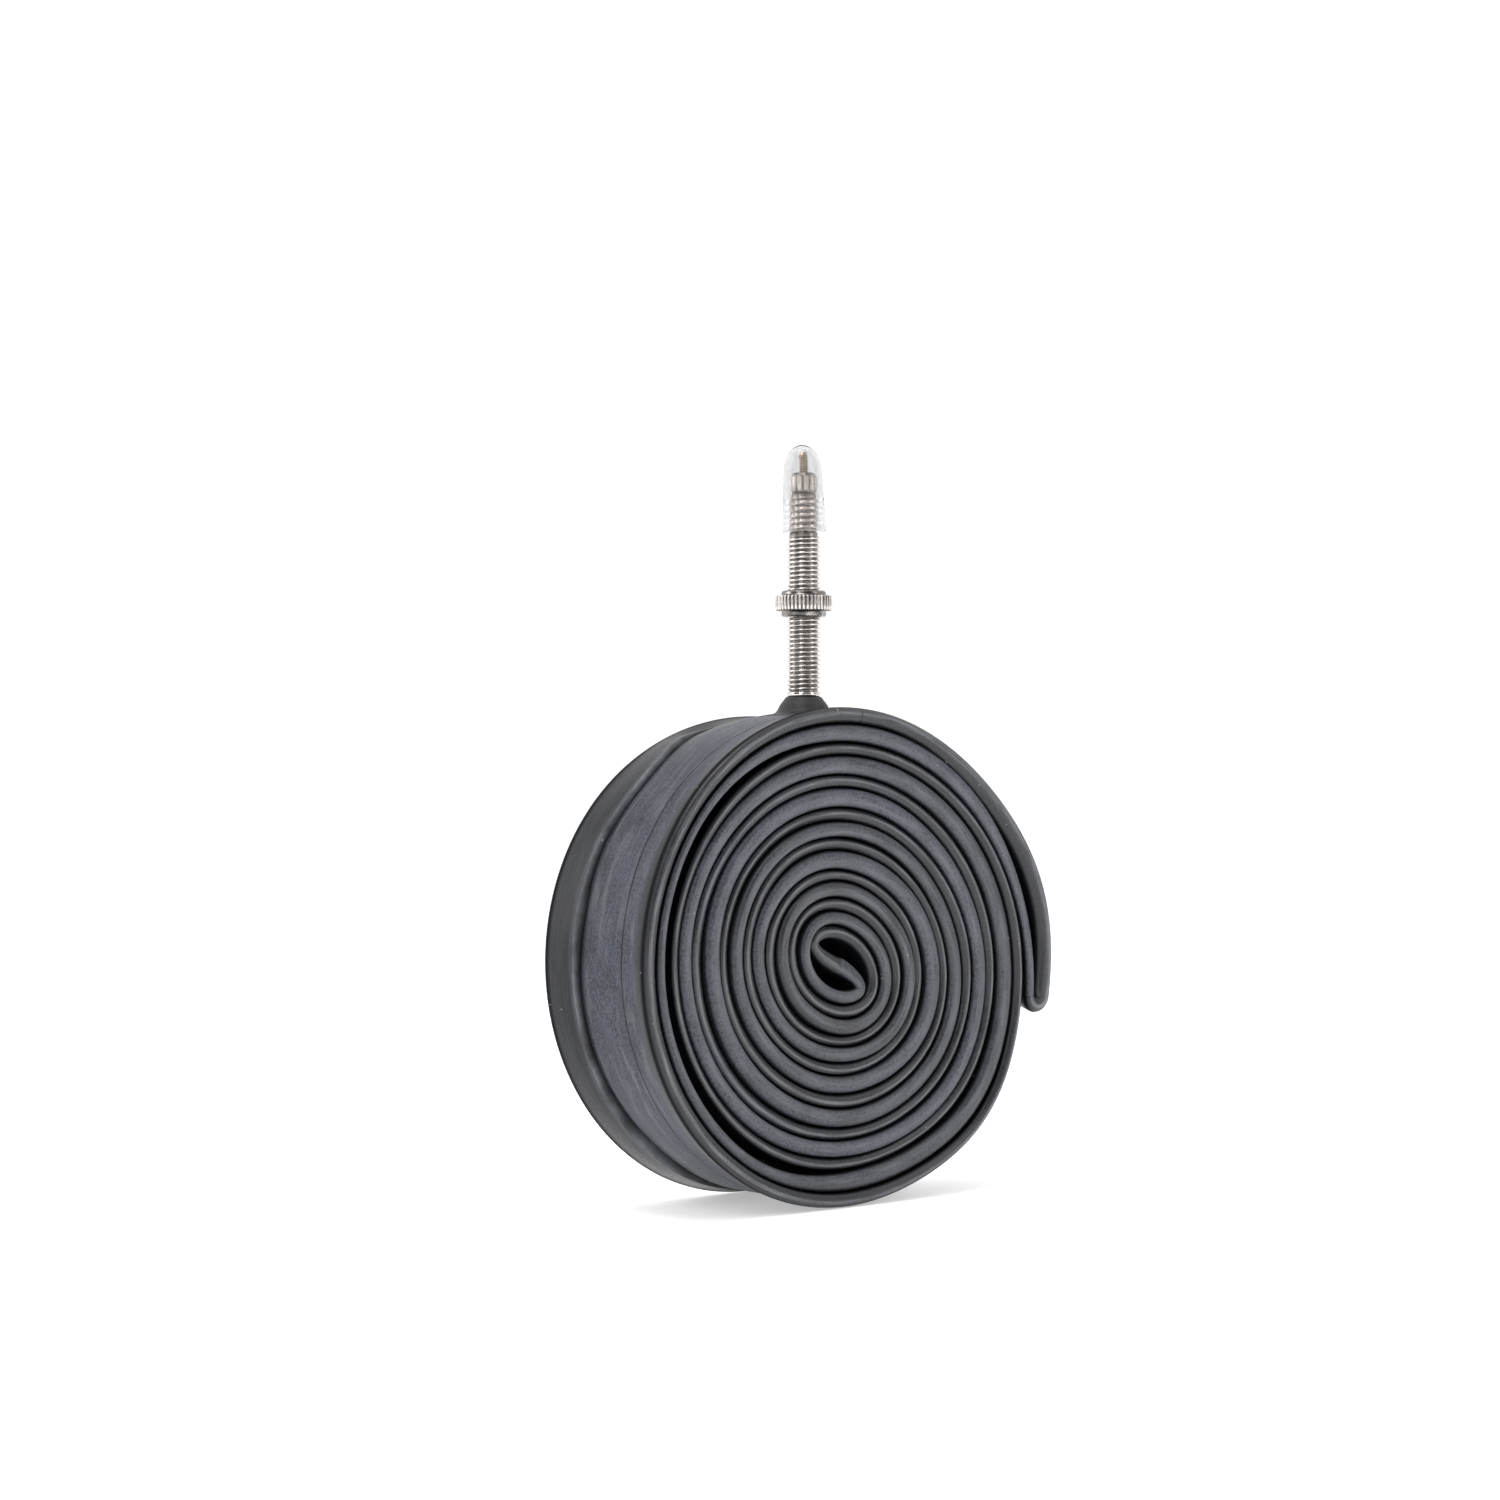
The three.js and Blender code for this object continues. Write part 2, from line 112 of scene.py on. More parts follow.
# marks on the rubber: millimetres across the strip, and colours, among them a pale one for the
# rubbed crests' wear and painted highlight, and a near black one for painted shade in the gaps
MOULD_LINE_Y, SPLICE_END_Y = -6.5, (-12.6, -11.6)
BRUSHED, WORN_AND_HIGHLIGHT, LINT = (0.13, 0.13, 0.138), (0.23, 0.235, 0.26), (0.5, 0.5, 0.49)
PAINTED_DEPTH_SHADE, MOULD_LINE, SPLICE = (0.003, 0.003, 0.0035), (0.008, 0.008, 0.009), (0.006, 0.006, 0.006)

# the stage, in metres
FLOOR_HALF, TARGET_HEIGHT, VALVE_OFF_CENTRE = 40.0, 0.05, 0.0095
WALL_RADIUS, WALL_LOW, WALL_HIGH, WALL_SIDES = 3.9, -0.01, 3.0, 96
ROOM_OVERHEAD, ROOM_DIM_BELOW, ROOM_BRIGHT_ABOVE = 0.75, -0.15, 0.75


# ---------------- settings
class RollSettings(bpy.types.PropertyGroup):
    """Sizes and colours of the wound rubber tube."""

    strip_width: FloatProperty(name="Strip width", description="Flattened tube, edge to edge",
                               default=29.0, min=10.0)
    step_deg: FloatProperty(name="Step", description="Winding angle between two stations",
                            default=2.5, min=1.0)
    bead: FloatProperty(name="Bead", description="Depth of the rounded folded edge",
                       default=1.65, min=0.2)
    sag: FloatProperty(name="Sag", description="How far the flat face lies below its edges",
                       default=1.0, min=0.0)
    crease: FloatProperty(name="Crease", description="Depth of the lengthwise pleat",
                          default=1.3, min=0.01)
    droop: FloatProperty(name="Droop", description="How far the top sinks towards the back",
                         default=1.5, min=0.0)
    dark: FloatVectorProperty(name="Dark rubber", description="Bare rubber", subtype="COLOR",
                              default=(0.0095, 0.010, 0.012), min=0, max=1)
    dusty: FloatVectorProperty(name="Dusty rubber", description="Rubber under talc",
                               subtype="COLOR", default=(0.060, 0.066, 0.089), min=0, max=1)


class ValveSettings(bpy.types.PropertyGroup):
    """Sizes and colours of the valve, its nuts and its cap."""

    stem_pitch: FloatProperty(name="Stem pitch", description="Pitch of the 6 mm thread",
                              default=0.8, min=0.2)
    nose_pitch: FloatProperty(name="Nose pitch", description="Pitch of the 5.2 mm thread",
                              default=NOSE_PITCH, min=0.2)
    pin_pitch: FloatProperty(name="Pin pitch", description="Pitch of the pin's thread",
                             default=0.5, min=0.1)
    flutes: IntProperty(name="Rim nut flutes", description="Flutes round the rim nut",
                        default=44, min=6)
    nickel: FloatVectorProperty(name="Nickel", description="Bright plating", subtype="COLOR",
                                default=(0.64, 0.60, 0.575), min=0, max=1)
    warm_nickel: FloatVectorProperty(name="Warm nickel", description="Thin plating over brass",
                                     subtype="COLOR", default=(0.54, 0.48, 0.43), min=0, max=1)
    brass: FloatVectorProperty(name="Brass", description="Bare brass", subtype="COLOR",
                               default=(0.42, 0.34, 0.26), min=0, max=1)


class StageSettings(bpy.types.PropertyGroup):
    """Camera, floor and light."""

    azimuth: FloatProperty(name="Azimuth", description="Camera direction, degrees", default=-40.0)
    distance: FloatProperty(name="Distance", description="Camera to valve, metres",
                            default=0.575, min=0.1, unit="LENGTH")
    eye_height: FloatProperty(name="Eye height", description="Camera above the floor, metres",
                              default=0.0793, min=0.0, unit="LENGTH")
    lens: FloatProperty(name="Lens", description="Focal length, millimetres", default=78.0, min=10)
    floor: FloatVectorProperty(name="Floor", description="Floor colour", subtype="COLOR",
                               default=(0.95, 0.95, 0.95), min=0, max=1)
    sky: FloatProperty(name="Sky", description="Brightness of the pale wall", default=1.1, min=0)
    dim: FloatProperty(name="Dim side", description="Brightness of the room behind the camera",
                       default=0.13, min=0)


# ---------------- mesh helpers
def build_mesh(name, vertices, faces, uv=None, marks=None):
    """Object of these vertices (metres) and quads, merged and facing outwards; marks are
    numbers that the material reads at each vertex."""
    mesh = bpy.data.meshes.new(name)
    mesh.from_pydata(vertices.reshape(-1, 3).tolist(), [], faces.tolist())
    for mark, values in (marks or {}).items():
        layer = mesh.attributes.new(mark, "FLOAT", "POINT")
        layer.data.foreach_set("value", np.asarray(values, np.float32).ravel())
    if uv is not None:
        layer = mesh.uv_layers.new(name="strip")
        layer.data.foreach_set("uv", uv.reshape(-1).astype(np.float32))
    work = bmesh.new()
    work.from_mesh(mesh)
    bmesh.ops.remove_doubles(work, verts=work.verts, dist=1e-7)
    bmesh.ops.dissolve_degenerate(work, dist=1e-7, edges=work.edges)
    if work.calc_volume(signed=True) < 0:
        bmesh.ops.reverse_faces(work, faces=work.faces)
    work.to_mesh(mesh)
    work.free()
    mesh.polygons.foreach_set("use_smooth", np.full(len(mesh.polygons), True))
    mesh.update()
    piece = bpy.data.objects.new(name, mesh)
    bpy.context.scene.collection.objects.link(piece)
    return piece


def sweep_faces(rows, columns, rows_closed=False, shear=0, first=0):
    """Quads of a grid whose columns close up; with shear, the last column joins rows higher up."""
    row = np.arange(rows if rows_closed else rows - 1)
    r, c = np.meshgrid(row, np.arange(columns), indexing="ij")
    up = (c == columns - 1) * shear
    low, high = r + up, r + 1 + up
    if rows_closed:
        low, high = low % rows, high % rows
    keep = (high < rows).ravel()
    following = (c + 1) % columns
    quads = np.stack([r * columns + c, low * columns + following,
                      high * columns + following, ((r + 1) % rows) * columns + c], axis=-1)
    return quads.reshape(-1, 4)[keep] + first


def turned_grid(profile, columns, shape=None):
    """Rings about the valve: each profile row is (radius, height); shape(radius, angle) may
    give the radius its flutes. A radius of nought closes a pole."""
    profile = np.asarray(profile, float)
    angle = np.arange(columns) * 2 * math.pi / columns
    radius = np.repeat(profile[:, :1], columns, axis=1)
    height = np.repeat(profile[:, 1:], columns, axis=1)
    if shape is not None:
        radius = shape(radius, angle[None, :])
    return np.stack([radius * np.cos(angle), radius * np.sin(angle), height], axis=-1)


def thread_grid(root, depth, pitch, low, high, columns, per_turn=10):
    """Screw thread: rows climb one pitch per turn, and the radius is the root plus a rounded
    ridge of the height above the helix; the ridge fades out at both ends."""
    rows = int(math.ceil((high - low) / pitch) + 2) * per_turn + 1
    i, j = np.meshgrid(np.arange(rows), np.arange(columns), indexing="ij")
    angle = j * 2 * math.pi / columns
    height = np.clip(low + pitch * (i / per_turn + j / columns - 1), low, high)
    phase = (i % per_turn) / per_turn
    ridge = np.clip(1.45 * (0.5 + 0.5 * np.cos(2 * math.pi * phase)) - 0.12, 0, 1)
    fade = np.clip((height - low) / (0.5 * pitch), 0, 1) * np.clip(
        (high - height) / (0.5 * pitch), 0, 1)
    radius = root + depth * ridge * fade
    points = np.stack([radius * np.cos(angle), radius * np.sin(angle), height], axis=-1)
    return points, per_turn


def valve_piece(name, grids):
    """One closed piece standing on the valve's axis, from grids of (points, shear); heights are
    millimetres above the rubber base."""
    vertices, faces, count = [], [], 0
    for points, shear in grids:
        faces.append(sweep_faces(points.shape[0], points.shape[1], shear=shear, first=count))
        vertices.append(points.reshape(-1, 3))
        count += points.shape[0] * points.shape[1]
    placed = np.concatenate(vertices) * MM + np.array([VALVE_X, 0, BASE_HIGH])
    return build_mesh(name, placed, np.concatenate(faces))


def arc(centre_r, centre_z, radius, start_deg, end_deg, count):
    """Profile points round an arc, as (radius, height) rows."""
    a = np.radians(np.linspace(start_deg, end_deg, count))
    return np.stack([centre_r + radius * np.cos(a), centre_z + radius * np.sin(a)], axis=1)


def settle(piece, body, slot, material, *nodes):
    """Gives a finished piece its body and material and hides the frame nodes it stands for; slot is
    not used.
    """
    piece.data.materials.clear()
    piece.data.materials.append(material)
    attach(piece, body)
    if nodes:
        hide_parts(*nodes)


# ---------------- shader helper
class Shader:
    """A node material with one principled surface, built node by node."""

    def __init__(self, name, **values):
        self.material = bpy.data.materials.new(name)
        self.material.use_nodes = True
        self.tree = self.material.node_tree
        self.surface = self.tree.nodes["Principled BSDF"]
        for socket, value in values.items():
            self.surface.inputs[socket.replace("_", " ")].default_value = value

    def node(self, kind, output=0, settings=None, **inputs):
        """Adds a node, sets its fields, links or sets its inputs, and returns one output."""
        node = self.tree.nodes.new("ShaderNode" + kind)
        for field, value in (settings or {}).items():
            setattr(node, field, value)
        for name, value in inputs.items():
            key = int(name[1:]) if name[0] == "i" and name[1:].isdigit() else name.replace("_", " ")
            self.plug(node.inputs[key], value)
        return node.outputs[output]

    def plug(self, socket, value):
        """Links another node's output to the socket, or sets the socket's own value."""
        if isinstance(value, bpy.types.NodeSocket):
            self.tree.links.new(value, socket)
        elif value is not None:
            socket.default_value = value

    def math(self, operation, a, b=None, c=None, clamp=False):
        settings = {"operation": operation, "use_clamp": clamp}
        return self.node("Math", settings=settings, i0=a, i1=b, i2=c)

    def ramp(self, value, low, high, to_low=0.0, to_high=1.0):
        return self.node("MapRange", Value=value, From_Min=low, From_Max=high, To_Min=to_low,
                         To_Max=to_high)

    def mix(self, factor, a, b):
        return self.node("Mix", 2, {"data_type": "RGBA"}, i0=factor, i6=a, i7=b)

    def noise(self, vector, scale, detail=3.0, roughness=0.5):
        return self.node("TexNoise", Vector=vector, Scale=scale, Detail=detail,
                         Roughness=roughness)

    def place(self):
        """Object coordinates, in metres."""
        return self.node("TexCoord", 3)

    def bump(self, height, distance, strength):
        return self.node("Bump", Height=height, Distance=distance, Strength=strength)

    def finish(self, **links):
        """Links or sets the surface's sockets and returns the material."""
        for name, value in links.items():
            self.plug(self.surface.inputs[name.replace("_", " ")], value)
        return self.material


def rgba(colour):
    return (*colour, 1.0)


# ---------------- the course of the strip
def quadratic(terms, h):
    """Constant, linear and square terms in the number of half turns."""
    return terms[0] + terms[1] * h + terms[2] * h * h


def hump(deg, centre, half):
    """Bell of height one about a clock angle, in degrees."""
    return np.exp(-((((deg - centre + 540) % 360) - 180) / half) ** 2)


def smoothstep(value, low, high):
    """Nought below low and one above high, by three t squared less two t cubed between."""
    t = np.clip((value - low) / (high - low), 0, 1)
    return t * t * (3 - 2 * t)


def in_roll(long, short):
    """Along and across the oval to x and z about the roll's centre."""
    a = math.radians(LONG_AXIS_DEG)
    return np.stack([long * math.cos(a) + short * math.sin(a),
                     long * math.sin(a) - short * math.cos(a)], axis=-1)


def side_spread(clock):
    """How much wider the roll is towards the hairpin's side."""
    return 1 + SIDE_SPREAD * hump(clock, SIDE_SPREAD_DEG, SIDE_SPREAD_HALF_DEG)


def clock_of(arm, winding):
    """Clock angle in degrees, against the winding; the arms start opposite each other."""
    return (LONG_AXIS_DEG - winding - 180 * arm) % 360


def loose_turn(winding):
    """How far the first arm has slipped inwards where the turns have come loose."""
    return LOOSE_SLIP * np.exp(-((winding - LOOSE_WINDING_DEG) / LOOSE_HALF_DEG) ** 2)


def unevenness(arm, winding):
    """Slow waves that make the layers differ: the second arm's are thicker than the first's."""
    h = winding / 180
    inner = smoothstep(h, 1.0, 3.0) * (1 - smoothstep(h, 12.6, 13.6))
    split = np.where(arm == 1, 0.24, -0.24) * inner
    waves = 0.2 * np.sin(np.radians(winding) * 0.63 + 1.3 + 2 * arm)
    waves = waves + 0.11 * np.sin(np.radians(winding) * 1.71 + 0.4 + arm)
    waves = waves + 0.05 * np.sin(np.radians(winding) * 5.3 + 2.4 * arm)
    slip = np.where(arm == 1, 0, loose_turn(winding))
    return split - slip + waves * smoothstep(h, 1.0, 3.0) * (1 - smoothstep(h, 12.5, 13.1))


def outer_face(arm, winding, in_by=0.0):
    """Crest of a layer's outer side: an oval spiral with its humps, less a depth."""
    h = winding / 180
    clock = clock_of(arm, winding)
    turn = np.radians(winding + 180 * arm)
    out = LOWER_BULGE * hump(clock, LOWER_BULGE_DEG, LOWER_BULGE_HALF_DEG) * (
        winding / VALVE_WINDING_DEG) ** 4
    out = out + unevenness(arm, winding) - in_by - FACE_INSET
    wedge = hump(clock, WEDGE_DEG, WEDGE_HALF_DEG)
    out = out + np.where(winding > VALVE_WINDING_DEG, WEDGE_LIFT * wedge, 0)
    last_inner = (arm == 1) & (winding > VALVE_WINDING_DEG - 180)
    out = out - np.where(last_inner, WEDGE_DROP * wedge, 0)
    spread = side_spread(clock)
    return in_roll((quadratic(LONG_RADIUS, h) + out) * spread * np.cos(turn),
                   (quadratic(SHORT_RADIUS, h) + out) * spread * np.sin(turn))


def layer_thickness(arm, winding):
    """From a layer's crest to the crest of the layer under it, less a little air, and less the
    gaps where the turns have come loose; the S-shaped core and the hairpin have their own."""
    h = winding / 180
    turn = np.radians(winding)
    long = quadratic(LONG_RADIUS, h) - quadratic(LONG_RADIUS, h - 1)
    short = quadratic(SHORT_RADIUS, h) - quadratic(SHORT_RADIUS, h - 1)
    pitch = long * np.cos(turn) ** 2 + short * np.sin(turn) ** 2
    pitch = pitch * side_spread(clock_of(arm, winding))
    pitch = pitch + unevenness(arm, winding) - unevenness(1 - arm, winding - 180)
    gap = OPEN_GAP * smoothstep(winding, 2200, 2250) * (1 - smoothstep(winding, 2340, 2395))
    gap = gap + loose_turn(winding - 180)
    pitch = pitch - np.where(arm == 1, gap, 0)
    core = smoothstep(h, 0.1, 1.0)
    thick = CORE_LAYER * (1 - core) + (pitch - LAYER_AIR) * core
    thick = thick + np.where(arm == 0, HAIRPIN_SWELL * smoothstep(winding, 2588, 2635), 0)
    near_bend = np.where(arm == 1, smoothstep(winding, OUTER_ARM_END_DEG - 240,
                                              OUTER_ARM_END_DEG - 190), 0)
    return thick * (1 - near_bend) + HAIRPIN_LAYER * near_bend


def strip_course(settings):
    """Stations of the closed loop in order: out along the first arm, round the hairpin, back
    along the second arm, and through the S-shaped middle. Returns a dict of arrays."""
    arms = []
    for arm, last in ((0, OUTER_ARM_END_DEG), (1, OUTER_ARM_END_DEG - 180)):
        winding = np.arange(CORE_START_DEG, last + 0.1, settings.step_deg)
        thick = layer_thickness(arm, winding)
        point = outer_face(arm, winding, thick / 2)
        side = 1 - 2 * arm
        t = np.linspace(0, 1, CORE_STATIONS)[1:-1, None]
        along = point[1] - point[0]
        start = point[0]
        hold = start - CORE_HOLD * along / np.linalg.norm(along)
        lead = in_roll(CORE_LEAD[0] * side, CORE_LEAD[1] * side)
        bend = 3 * (1 - t) ** 2 * t * lead + 3 * (1 - t) * t ** 2 * hold + t ** 3 * start
        lens = thick[0] + CORE_SWELL * (1 - smoothstep(t[:, 0], 0.0, 0.55))
        arms.append({
            "point": np.concatenate([bend, point]),
            "thick": np.concatenate([lens, thick]),
            "winding": np.concatenate([np.full(len(bend), float(CORE_START_DEG)), winding]),
            "arm": np.full(len(bend) + len(point), arm),
        })
    outer, inner = arms
    end, start = outer["point"][-1], inner["point"][-1]
    middle, reach = (end + start) / 2, (end - start) / 2
    turn = np.linspace(0, math.pi, HAIRPIN_STATIONS)[1:-1]
    hairpin = middle + np.outer(np.cos(turn), reach) + np.outer(
        np.sin(turn), [reach[1], -reach[0]])
    part = turn / math.pi
    bend = {
        "point": hairpin,
        "thick": outer["thick"][-1] * (1 - part) + inner["thick"][-1] * part,
        "winding": outer["winding"][-1] + HAIRPIN_WINDING_DEG * part,
        "arm": np.zeros(len(part)),
    }
    centre = {"point": np.zeros((1, 2)), "thick": [outer["thick"][0]],
              "winding": [float(CORE_START_DEG)], "arm": [0]}
    parts = [centre, outer, bend, {k: v[::-1] for k, v in inner.items()}]
    course = {k: np.concatenate([np.asarray(p[k], float) for p in parts]) for k in outer}
    point = course["point"]
    ahead, behind = np.roll(point, -1, 0), np.roll(point, 1, 0)
    along = (ahead - behind) / np.linalg.norm(ahead - behind, axis=1)[:, None]
    course["left"] = np.stack([-along[:, 1], along[:, 0]], axis=1)
    course["length"] = np.concatenate(
        [[0], np.cumsum(np.linalg.norm(np.diff(point, axis=0), axis=1))])
    course["clock"] = np.degrees(np.arctan2(point[:, 1], point[:, 0])) % 360
    return course


def strip_surface(settings):
    """Flattened tube swept along its course: rounded folded edges, faces that sag between them
    and, on the outer turn, a pleat along the face. Columns run from the rear fold round the
    right-hand face, the front fold and the left-hand face back to the rear fold. A point is its
    station, plus its height in the section along the course's left-hand normal, at its y."""
    course = strip_course(settings)
    winding, arm, clock = course["winding"], course["arm"], course["clock"]
    count = len(winding)
    h = winding / 180
    half = course["thick"] / 2
    outermost = smoothstep(winding, 2240, 2300) * (arm == 0)
    protruding = smoothstep(h, 12.25, 12.6)
    waves = 0.2 * np.sin(np.radians(winding) * 1.3 + arm) + 0.12 * np.sin(
        np.radians(winding) * 2.9 + 2 * arm)
    layered = np.where(arm == 1, 0.3, 0.8) * (1 - protruding)
    dish = 0.7 * hump(clock, 190, 62) * smoothstep(h, 2, 11.5) * (1 - protruding)
    front = -settings.strip_width / 2 + np.clip(layered + dish + waves * (1 - outermost), 0, 3)
    rear = settings.strip_width / 2 - np.clip(layered * 0.8 - waves * (1 - outermost), 0, 3)
    bead = np.minimum(settings.bead, half * 1.1)

    crease = settings.crease * smoothstep(winding, 2392, 2432) * (
        1 - smoothstep(winding, 2548, 2562)) * outermost
    crease_y = 6.0 - 1.3 * hump(clock, 134, 10) + 2.6 * hump(clock, 111, 9)
    gape = 0.7 + 0.9 * hump(clock, 232, 20) + 0.5 * hump(clock, 168, 9)
    left_sag = (settings.sag * outermost + 0.3 * (1 - outermost)) * np.minimum(1, half / 1.2)

    def left_face(y):
        """Height of the left-hand face above the middle: crest, sag, valley and rear band."""
        from_front = smoothstep(y - front - bead, 0, 3.4)
        from_rear = smoothstep(rear - bead - y, 0, 3.0)
        level = half - left_sag * from_front * from_rear
        valley = np.exp(-np.clip(crease_y - y, 0, None) / (0.8 * gape)) * (y < crease_y)
        band = smoothstep(y, crease_y - 0.02, crease_y + 0.1)
        lift = 0.55 + 0.25 * hump(y, crease_y + 3.5, 2.5)
        return level + crease * (band * lift - valley * gape * (1 - band)) * from_rear

    square = np.where(arm == 1, 0.72, 0.95)
    ribbed = np.where(arm == 1, 0.05, 0.13) * (0.65 + 0.35 * np.sin(
        np.radians(winding) * 0.8 + 2 * arm))

    def fold(edge, sign, deg):
        """Rounded edge: a squared ellipse in the bead's depth and half the thickness, with two
        shallow grooves along it where the folded walls pull in."""
        a = math.radians(deg)
        dent = math.exp(-((deg - 36) / 7) ** 2) + 0.8 * math.exp(-((deg + 22) / 7) ** 2)
        shrink = 1 - ribbed * dent
        across = abs(math.sin(a)) ** square * math.copysign(1, a)
        return (edge + sign * bead * (1 - math.cos(a) ** square * shrink),
                half * across * shrink)

    columns = [(y, -n) for y, n in (fold(rear, -1, deg) for deg in REAR_FOLD_DEG)]
    for part in RIGHT_FACE_PARTS:
        y = rear - bead + (front - rear + 2 * bead) * part
        columns.append((y, -(half - 0.2 * smoothstep(part, 0, 0.2) * smoothstep(1 - part, 0, 0.2))))
    columns += [fold(front, 1, deg) for deg in FRONT_FOLD_DEG]
    near, far = crease_y - PLEAT_NEAR, crease_y + PLEAT_COLUMNS[-1]
    face = [front + bead + (near - front - bead) * part for part in LEFT_FACE_PARTS]
    face += [crease_y + offset for offset in PLEAT_COLUMNS]
    face += [far + (rear - bead - far) * part for part in REAR_BAND_PARTS]
    columns += [(y, left_face(y)) for y in face]
    columns += [fold(rear, -1, deg) for deg in REAR_RETURN_DEG]

    course["crease_y"], course["crease"] = crease_y, crease / settings.crease
    y = np.stack([np.broadcast_to(c[0], count) for c in columns], axis=1)
    n = np.stack([np.broadcast_to(c[1], count) for c in columns], axis=1)
    plane = course["point"][:, None, :] + n[..., None] * course["left"][:, None, :]
    droop = settings.droop * smoothstep(y, 0, settings.strip_width / 2) * (
        hump(clock, 100, 45) * h / 14)[:, None]
    outward = course["point"] / (np.linalg.norm(course["point"], axis=1)[:, None] + 1e-6)
    plane = plane - droop[..., None] * outward[:, None, :]
    points = np.stack([plane[..., 0] + ROLL_X, y, plane[..., 1] + ROLL_Z], axis=-1)

    around = np.zeros(len(columns) + 1)
    typical = points[count // 3]
    ring = np.concatenate([typical, typical[:1]])
    around[1:] = np.cumsum(np.linalg.norm(np.diff(ring, axis=0), axis=1))
    around -= around[np.argmin(np.abs(typical[:, 1] - typical[:, 1].min()))]
    return points, course, around


def strip_uv(course, around, rows, columns):
    """Strip map in metres: length along the course, and distance across from the front fold."""
    along = np.append(course["length"], course["length"][-1] + 0.3)
    r, c = np.meshgrid(np.arange(rows), np.arange(columns), indexing="ij")
    corners = [(r, c), (r, c + 1), (r + 1, c + 1), (r + 1, c)]
    uv = np.stack([np.stack([along[i], around[j]], axis=-1) for i, j in corners], axis=2)
    return uv.reshape(-1, 2) * MM


def strip_marks(points, course):
    """For the material, at each vertex: dust (talc), panel (the bare outer turn's face), the
    crest mark (rubbed crests, partly wear and partly painted highlight, with a painted highlight
    along the pleat's rear edge) and gap (painted shade between layers and in the pleat)."""
    columns = points.shape[1]
    winding, arm = course["winding"][:, None], course["arm"][:, None]
    outer_turn = smoothstep(winding, 2300, 2330) * (arm == 0)
    last_bend = smoothstep(winding, 2590, 2650) * (arm == 0)
    y = points[..., 1]
    waver = 0.5 + 0.5 * np.sin(np.radians(winding) * 0.43 + 0.8)
    grown = 0.45 + 0.55 * smoothstep(winding, 500, 1500)
    dust = np.where(arm == 1, 0.34 + 0.6 * waver, 0.1 + 0.16 * waver) * grown
    dust = dust * (1 - outer_turn) + outer_turn * 0.12
    facing = np.zeros((1, columns))
    facing[0, LEFT_FACE_AT:LEFT_FACE_AT + LEFT_FACE_COLUMNS] = 1
    panel = facing * outer_turn * (1 - last_bend)
    middle = smoothstep(y, -11.0, -9.6) * (1 - smoothstep(y, 2.6, 5.4))

    deg = np.full(columns, 90.0)
    deg[FRONT_FOLD_AT:LEFT_FACE_AT] = FRONT_FOLD_DEG
    deg[:len(REAR_FOLD_DEG)] = REAR_FOLD_DEG
    deg[-len(REAR_RETURN_DEG):] = REAR_RETURN_DEG
    deg = deg[None, :]
    # Rubbed crests: a pale band a little off each fold's middle, partly wear and partly a painted
    # highlight where the lamps catch the beads.
    crest = np.where(arm == 1, 12.0, 14.0)
    wide = np.where(arm == 1, 30.0, 13.0)
    rub_and_highlight = np.exp(-((deg - crest) / wide) ** 2) * np.where(arm == 1, 0.35, 0.8)
    # Painted shade: the folds' sides, deep between the layers, and the hidden faces go dark.
    gap = smoothstep(np.abs(deg), 44, 84)
    open_face = facing * smoothstep(winding, 2300, 2330) * (arm == 0)
    gap = gap * (1 - open_face)
    # Along the pleat: painted shade in a dark pocket in front of the crease, and a thin painted
    # highlight on the rear band's edge behind it.
    off = y - course["crease_y"][:, None]
    crease = course["crease"][:, None] * facing
    gap = np.maximum(gap, crease * np.exp(-np.clip(-off - 0.3, 0, None) / 0.4) * (off < 0.02))
    rub_and_highlight = np.maximum(rub_and_highlight * (1 - panel), crease * np.exp(-((off - 0.15) / 0.2) ** 2))
    return {"dust": dust * (1 - panel) + panel * (0.06 + 0.8 * middle),
            "panel": np.broadcast_to(panel, y.shape), "rub_and_highlight": rub_and_highlight, "gap": gap}


